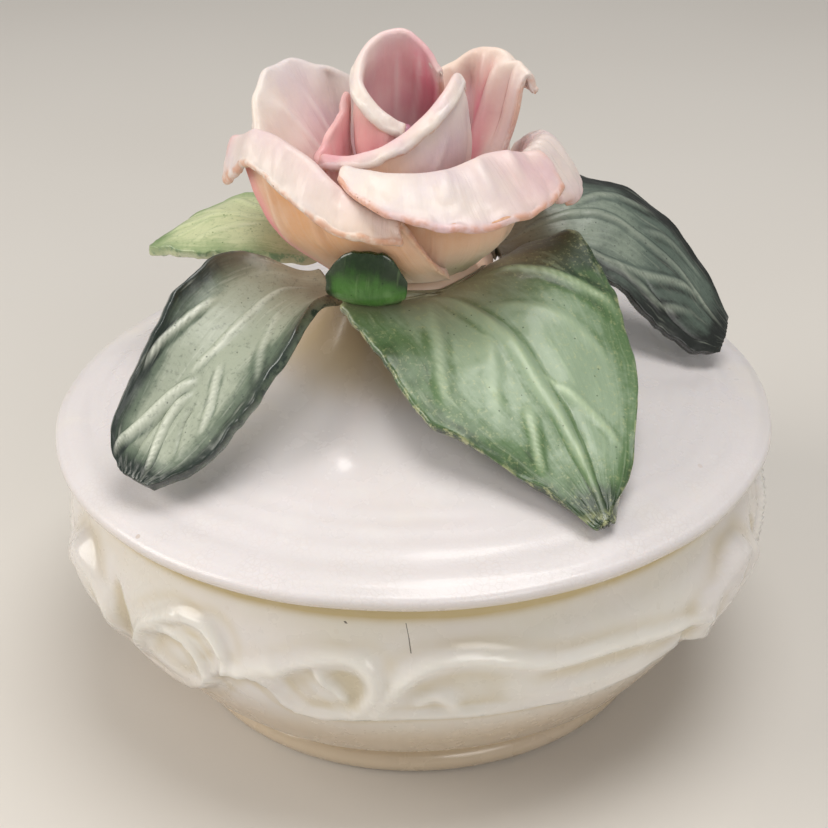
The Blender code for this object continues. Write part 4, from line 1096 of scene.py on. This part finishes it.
def build_leaf(name, leaf, settings, seed):
    ribs, wide, tall = leaf["ribs"], LEAF_WIDE, SHEET_TALL
    boldness = settings.vein / VEIN_HEIGHT

    def point(u, v, crease):
        across = 2 * u - 1
        hand = 1 if across > 0 else -1
        cut = 0.05 * noise.noise(Vector((v * 11, seed, hand)))
        cut += 0.026 * noise.noise(Vector((v * 37, seed, hand)))
        u = 0.5 + across / 2 * (1 + cut * abs(across) ** 3)
        v = v * (1 + 0.010 * noise.noise(Vector((u * 9, seed, 0))))
        place = leaf_point(ribs, u, min(v, 1.0))
        edge = abs(across) ** 4
        wave = 0.9 * noise.noise(Vector((v * 8, seed + hand * 4, 1))) * edge
        soft = wobble(place, 6.0, seed) * 0.45 + wobble(place, 2.2, seed) * 0.10
        return place + Vector((0, 0, wave + soft + 1.05 * crease * boldness))

    def wall(u, v):
        bead = float(ease(0.86, 0.97, max(abs(2 * u - 1), v)))
        lumps = 0.22 * noise.noise(Vector((u * wide / 1.1, v * tall / 1.1, seed)))
        return settings.wall / MM * (1 + 0.16 * bead + lumps * bead)

    bm, uv, face = sheet(60, 76, point, wall, leaf["creases"], wide, tall)
    low, high = leaf["shade"]
    shade, rim = [], []
    for (u, v), side in zip(uv, face):
        out = max(abs(2 * u - 1), float(ease(0.60, 1.0, v)) * 0.9)
        tone = low + (high - low) * float(ease(0.45, 1.0, out))
        for mid_u, mid_v, spread_u, spread_v, darker in leaf["tones"]:
            tone += darker * math.exp(-((u - mid_u) / spread_u) ** 2 - ((v - mid_v) / spread_v) ** 2)
        shade.append(tone if side else tone - 0.35)
        rim.append(float(ease(0.94, 1.0, max(abs(2 * u - 1), v))))
    mark(bm, "shade", shade)
    mark(bm, "rim", rim)
    mark(bm, "root", [0.85 * float(ease(0.34, 0.04, v)) for u, v in uv])
    glaze = leaf_glaze(name + "_glaze", *(tint(code) for code in leaf["colours"]))
    return round_off(new_piece(name + "_clay", bm, "lid", [name], [glaze]))


# The sepal comes out from the flower's base and stands up against its front. Rows from root to tip of
# (azimuth, radius, height above the boss).
SEPAL = (
    ((238, 12.6, 1.6), (246, 12.8, 1.2), (255, 12.8, 1.2), (264, 12.6, 1.6)),
    ((234, 17.2, 3.2), (245, 17.6, 3.3), (257, 17.4, 3.4), (268, 16.6, 3.8)),
    ((235, 18.0, 5.2), (246, 18.4, 6.4), (258, 17.9, 6.6), (269, 16.8, 5.9)),
    ((233, 17.9, 7.4), (246, 17.6, 9.6), (260, 17.0, 9.8), (271, 16.4, 7.8)),
)


def build_sepal(settings):
    def point(u, v, crease):
        rows = [along([Vector(p) for p in row], u) for row in SEPAL]
        reach = 1 - 0.22 * abs(2 * u - 1) ** 3 - 0.14 * max(2 * u - 1, 0) ** 2
        azimuth, radius, height = along(rows, v * reach)
        place = polar(azimuth, radius, height + BOSS_TOP)
        return place + Vector((0, 0, 0.4 * wobble(place, 3.0, 2.0) + 0.25 * wobble(place, 1.1, 2.0) * v))

    bm, uv, _ = sheet(36, 22, point, lambda u, v: settings.wall / MM * (1.1 - 0.35 * v), (), 11.0, 8.0)
    # Painted shade: the sepal gets darker greens than the leaves, darkest towards its top and left, for the shade
    # it stands in against the flower.
    mark(bm, "shade", [0.30 + 0.9 * float(ease(0.45, 1.0, max(v, 1 - 2.0 * u))) for u, v in uv])
    mark(bm, "rim", [float(ease(0.80, 1.0, max(1 - 2 * u, v))) for u, v in uv])
    mark(bm, "root", [0.0 for place in uv])
    shaded_greens = ("6F9A58", "3D7024", "16300C", "2A4020", "8FB070")
    glaze = leaf_glaze("sepal_shaded_glaze", *(tint(code) for code in shaded_greens))
    return round_off(new_piece("sepal_clay", bm, "lid", ["sepal_front"], [glaze]))


# ---------------------------------------------------------------- stage

def floor_paint(colour):
    paint = Paint("floor_paint")
    patches = paint.clouds(180, detail=2, seed=1.0)
    shade = paint.mix(paint.ramp(patches, 0.3, 0.7) * 0.5, colour, tint("D3CEC7"))
    return paint.finish({"Base Color": shade, "Roughness": 0.7})


def build_floor(settings):
    bm = bmesh.new()
    bmesh.ops.create_grid(bm, x_segments=2, y_segments=2, size=3.0)
    mesh = bpy.data.meshes.new("studio_floor")
    bm.to_mesh(mesh)
    bm.free()
    mesh.materials.append(floor_paint(tuple(settings.floor)))
    floor = bpy.data.objects.new("studio_floor", mesh)
    bpy.context.scene.collection.objects.link(floor)


# (name, place, where it points, width, power, colour), in metres and watts.
LAMPS = (
    ("key_light", (0.10, -0.02, 0.66), (0, 0, 0.05), 0.40, 2.25, (1.0, 0.98, 0.95)),
    ("window_light", (-0.58, -0.10, 0.38), (0, 0, 0.05), 0.44, 2.3, (1.0, 0.95, 0.88)),
    ("front_light", (0.30, -0.72, 0.40), (0, 0, 0.04), 0.40, 1.5, (1.0, 0.975, 0.94)),
)
CAMERA_TARGET = (0, 0, 0.040)
CAMERA_PAN, CAMERA_TILT, CAMERA_ROLL = -0.025, -0.80, -1.485   # degrees


def build_lamp(name, place, aim, width, power, colour):
    data = bpy.data.lights.new(name, "AREA")
    data.shape = "DISK"
    data.size = width
    data.energy = power
    data.color = colour
    lamp = bpy.data.objects.new(name, data)
    lamp.location = place
    lamp.rotation_euler = (Vector(aim) - Vector(place)).to_track_quat("-Z", "Y").to_euler()
    bpy.context.scene.collection.objects.link(lamp)


def build_camera(settings):
    """Looks down on the box from the front, with a slight roll."""
    target = Vector(CAMERA_TARGET)
    rise = settings.elevation
    place = target + settings.distance * Vector((0, -math.cos(rise), math.sin(rise)))
    turn = Matrix.Rotation(math.pi / 2 - rise, 4, "X")
    pan = Matrix.Rotation(math.radians(CAMERA_PAN), 4, "Y")
    tilt = Matrix.Rotation(math.radians(CAMERA_TILT), 4, "X")
    roll = Matrix.Rotation(math.radians(CAMERA_ROLL), 4, "Z")
    data = bpy.data.cameras.new("camera")
    data.sensor_width = 36
    data.angle = settings.view_angle
    data.clip_start = 0.01
    camera = bpy.data.objects.new("camera", data)
    camera.matrix_world = Matrix.Translation(place) @ turn @ pan @ tilt @ roll
    bpy.context.scene.collection.objects.link(camera)
    bpy.context.scene.camera = camera


def build_world():
    world = bpy.data.worlds.new("studio")
    world.use_nodes = True
    background = world.node_tree.nodes["Background"]
    background.inputs["Color"].default_value = (1.0, 0.985, 0.97, 1)
    background.inputs["Strength"].default_value = 0.31
    bpy.context.scene.world = world


# ---------------------------------------------------------------- add-on

class TRINKET_OT_stage(bpy.types.Operator):
    """Set up the floor, the lights and the camera"""
    bl_idname = "trinket.stage"
    bl_label = "Stage"

    def execute(self, context):
        settings = context.scene.trinket_stage
        build_floor(settings)
        for lamp in LAMPS:
            build_lamp(*lamp)
        build_world()
        build_camera(settings)
        context.scene.view_settings.view_transform = "Standard"
        return {"FINISHED"}


class TRINKET_OT_bowl(bpy.types.Operator):
    """Cast the bowl with its moulded scrolls and shells"""
    bl_idname = "trinket.bowl"
    bl_label = "Bowl"

    def execute(self, context):
        build_bowl(context.scene.trinket_bowl)
        return {"FINISHED"}


class TRINKET_OT_lid(bpy.types.Operator):
    """Cast the domed lid with its locating ring"""
    bl_idname = "trinket.lid"
    bl_label = "Lid"

    def execute(self, context):
        build_lid(context.scene.trinket_lid)
        return {"FINISHED"}


class TRINKET_OT_rose(bpy.types.Operator):
    """Build the flower petal by petal on its clay base"""
    bl_idname = "trinket.rose"
    bl_label = "Rose"

    def execute(self, context):
        rose = context.scene.trinket_rose
        glaze = petal_glaze("petal_wash", rose)
        build_base(glaze)
        build_heart(glaze)
        for seed, (name, petal) in enumerate(PETALS.items(), 1):
            build_petal(name, petal, rose, glaze, seed * 3.7)
        return {"FINISHED"}


class TRINKET_OT_leaves(bpy.types.Operator):
    """Lay the four leaves and the sepal round the flower"""
    bl_idname = "trinket.leaves"
    bl_label = "Leaves"

    def execute(self, context):
        settings = context.scene.trinket_leaf
        for seed, (name, leaf) in enumerate(LEAVES.items(), 1):
            build_leaf(name, leaf, settings, seed * 5.3)
        build_sepal(settings)
        return {"FINISHED"}


GROUPS = {
    "trinket_bowl": BowlSettings, "trinket_lid": LidSettings, "trinket_rose": RoseSettings,
    "trinket_leaf": LeafSettings, "trinket_stage": StageSettings,
}
OPERATORS = (TRINKET_OT_stage, TRINKET_OT_bowl, TRINKET_OT_lid, TRINKET_OT_rose, TRINKET_OT_leaves)


class TRINKET_PT_panel(bpy.types.Panel):
    """Sizes and colours of the trinket box, and a button for each group of pieces"""
    bl_idname = "TRINKET_PT_panel"
    bl_label = "Trinket Box"
    bl_space_type = "VIEW_3D"
    bl_region_type = "UI"
    bl_category = "Trinket Box"

    def draw(self, context):
        for operator in OPERATORS:
            self.layout.operator(operator.bl_idname)
        for name, group in GROUPS.items():
            box = self.layout.box()
            for prop in group.__annotations__:
                box.prop(getattr(context.scene, name), prop)


def register():
    for group in GROUPS.values():
        bpy.utils.register_class(group)
    for name, group in GROUPS.items():
        setattr(bpy.types.Scene, name, bpy.props.PointerProperty(type=group))
    for made in (*OPERATORS, TRINKET_PT_panel):
        bpy.utils.register_class(made)


def unregister():
    for made in (*OPERATORS, TRINKET_PT_panel):
        bpy.utils.unregister_class(made)
    for name, group in GROUPS.items():
        delattr(bpy.types.Scene, name)
        bpy.utils.unregister_class(group)


def main():
    register()
    for operator in OPERATORS:
        group, name = operator.bl_idname.split(".")
        getattr(getattr(bpy.ops, group), name)()


if __name__ == "__main__":
    main()
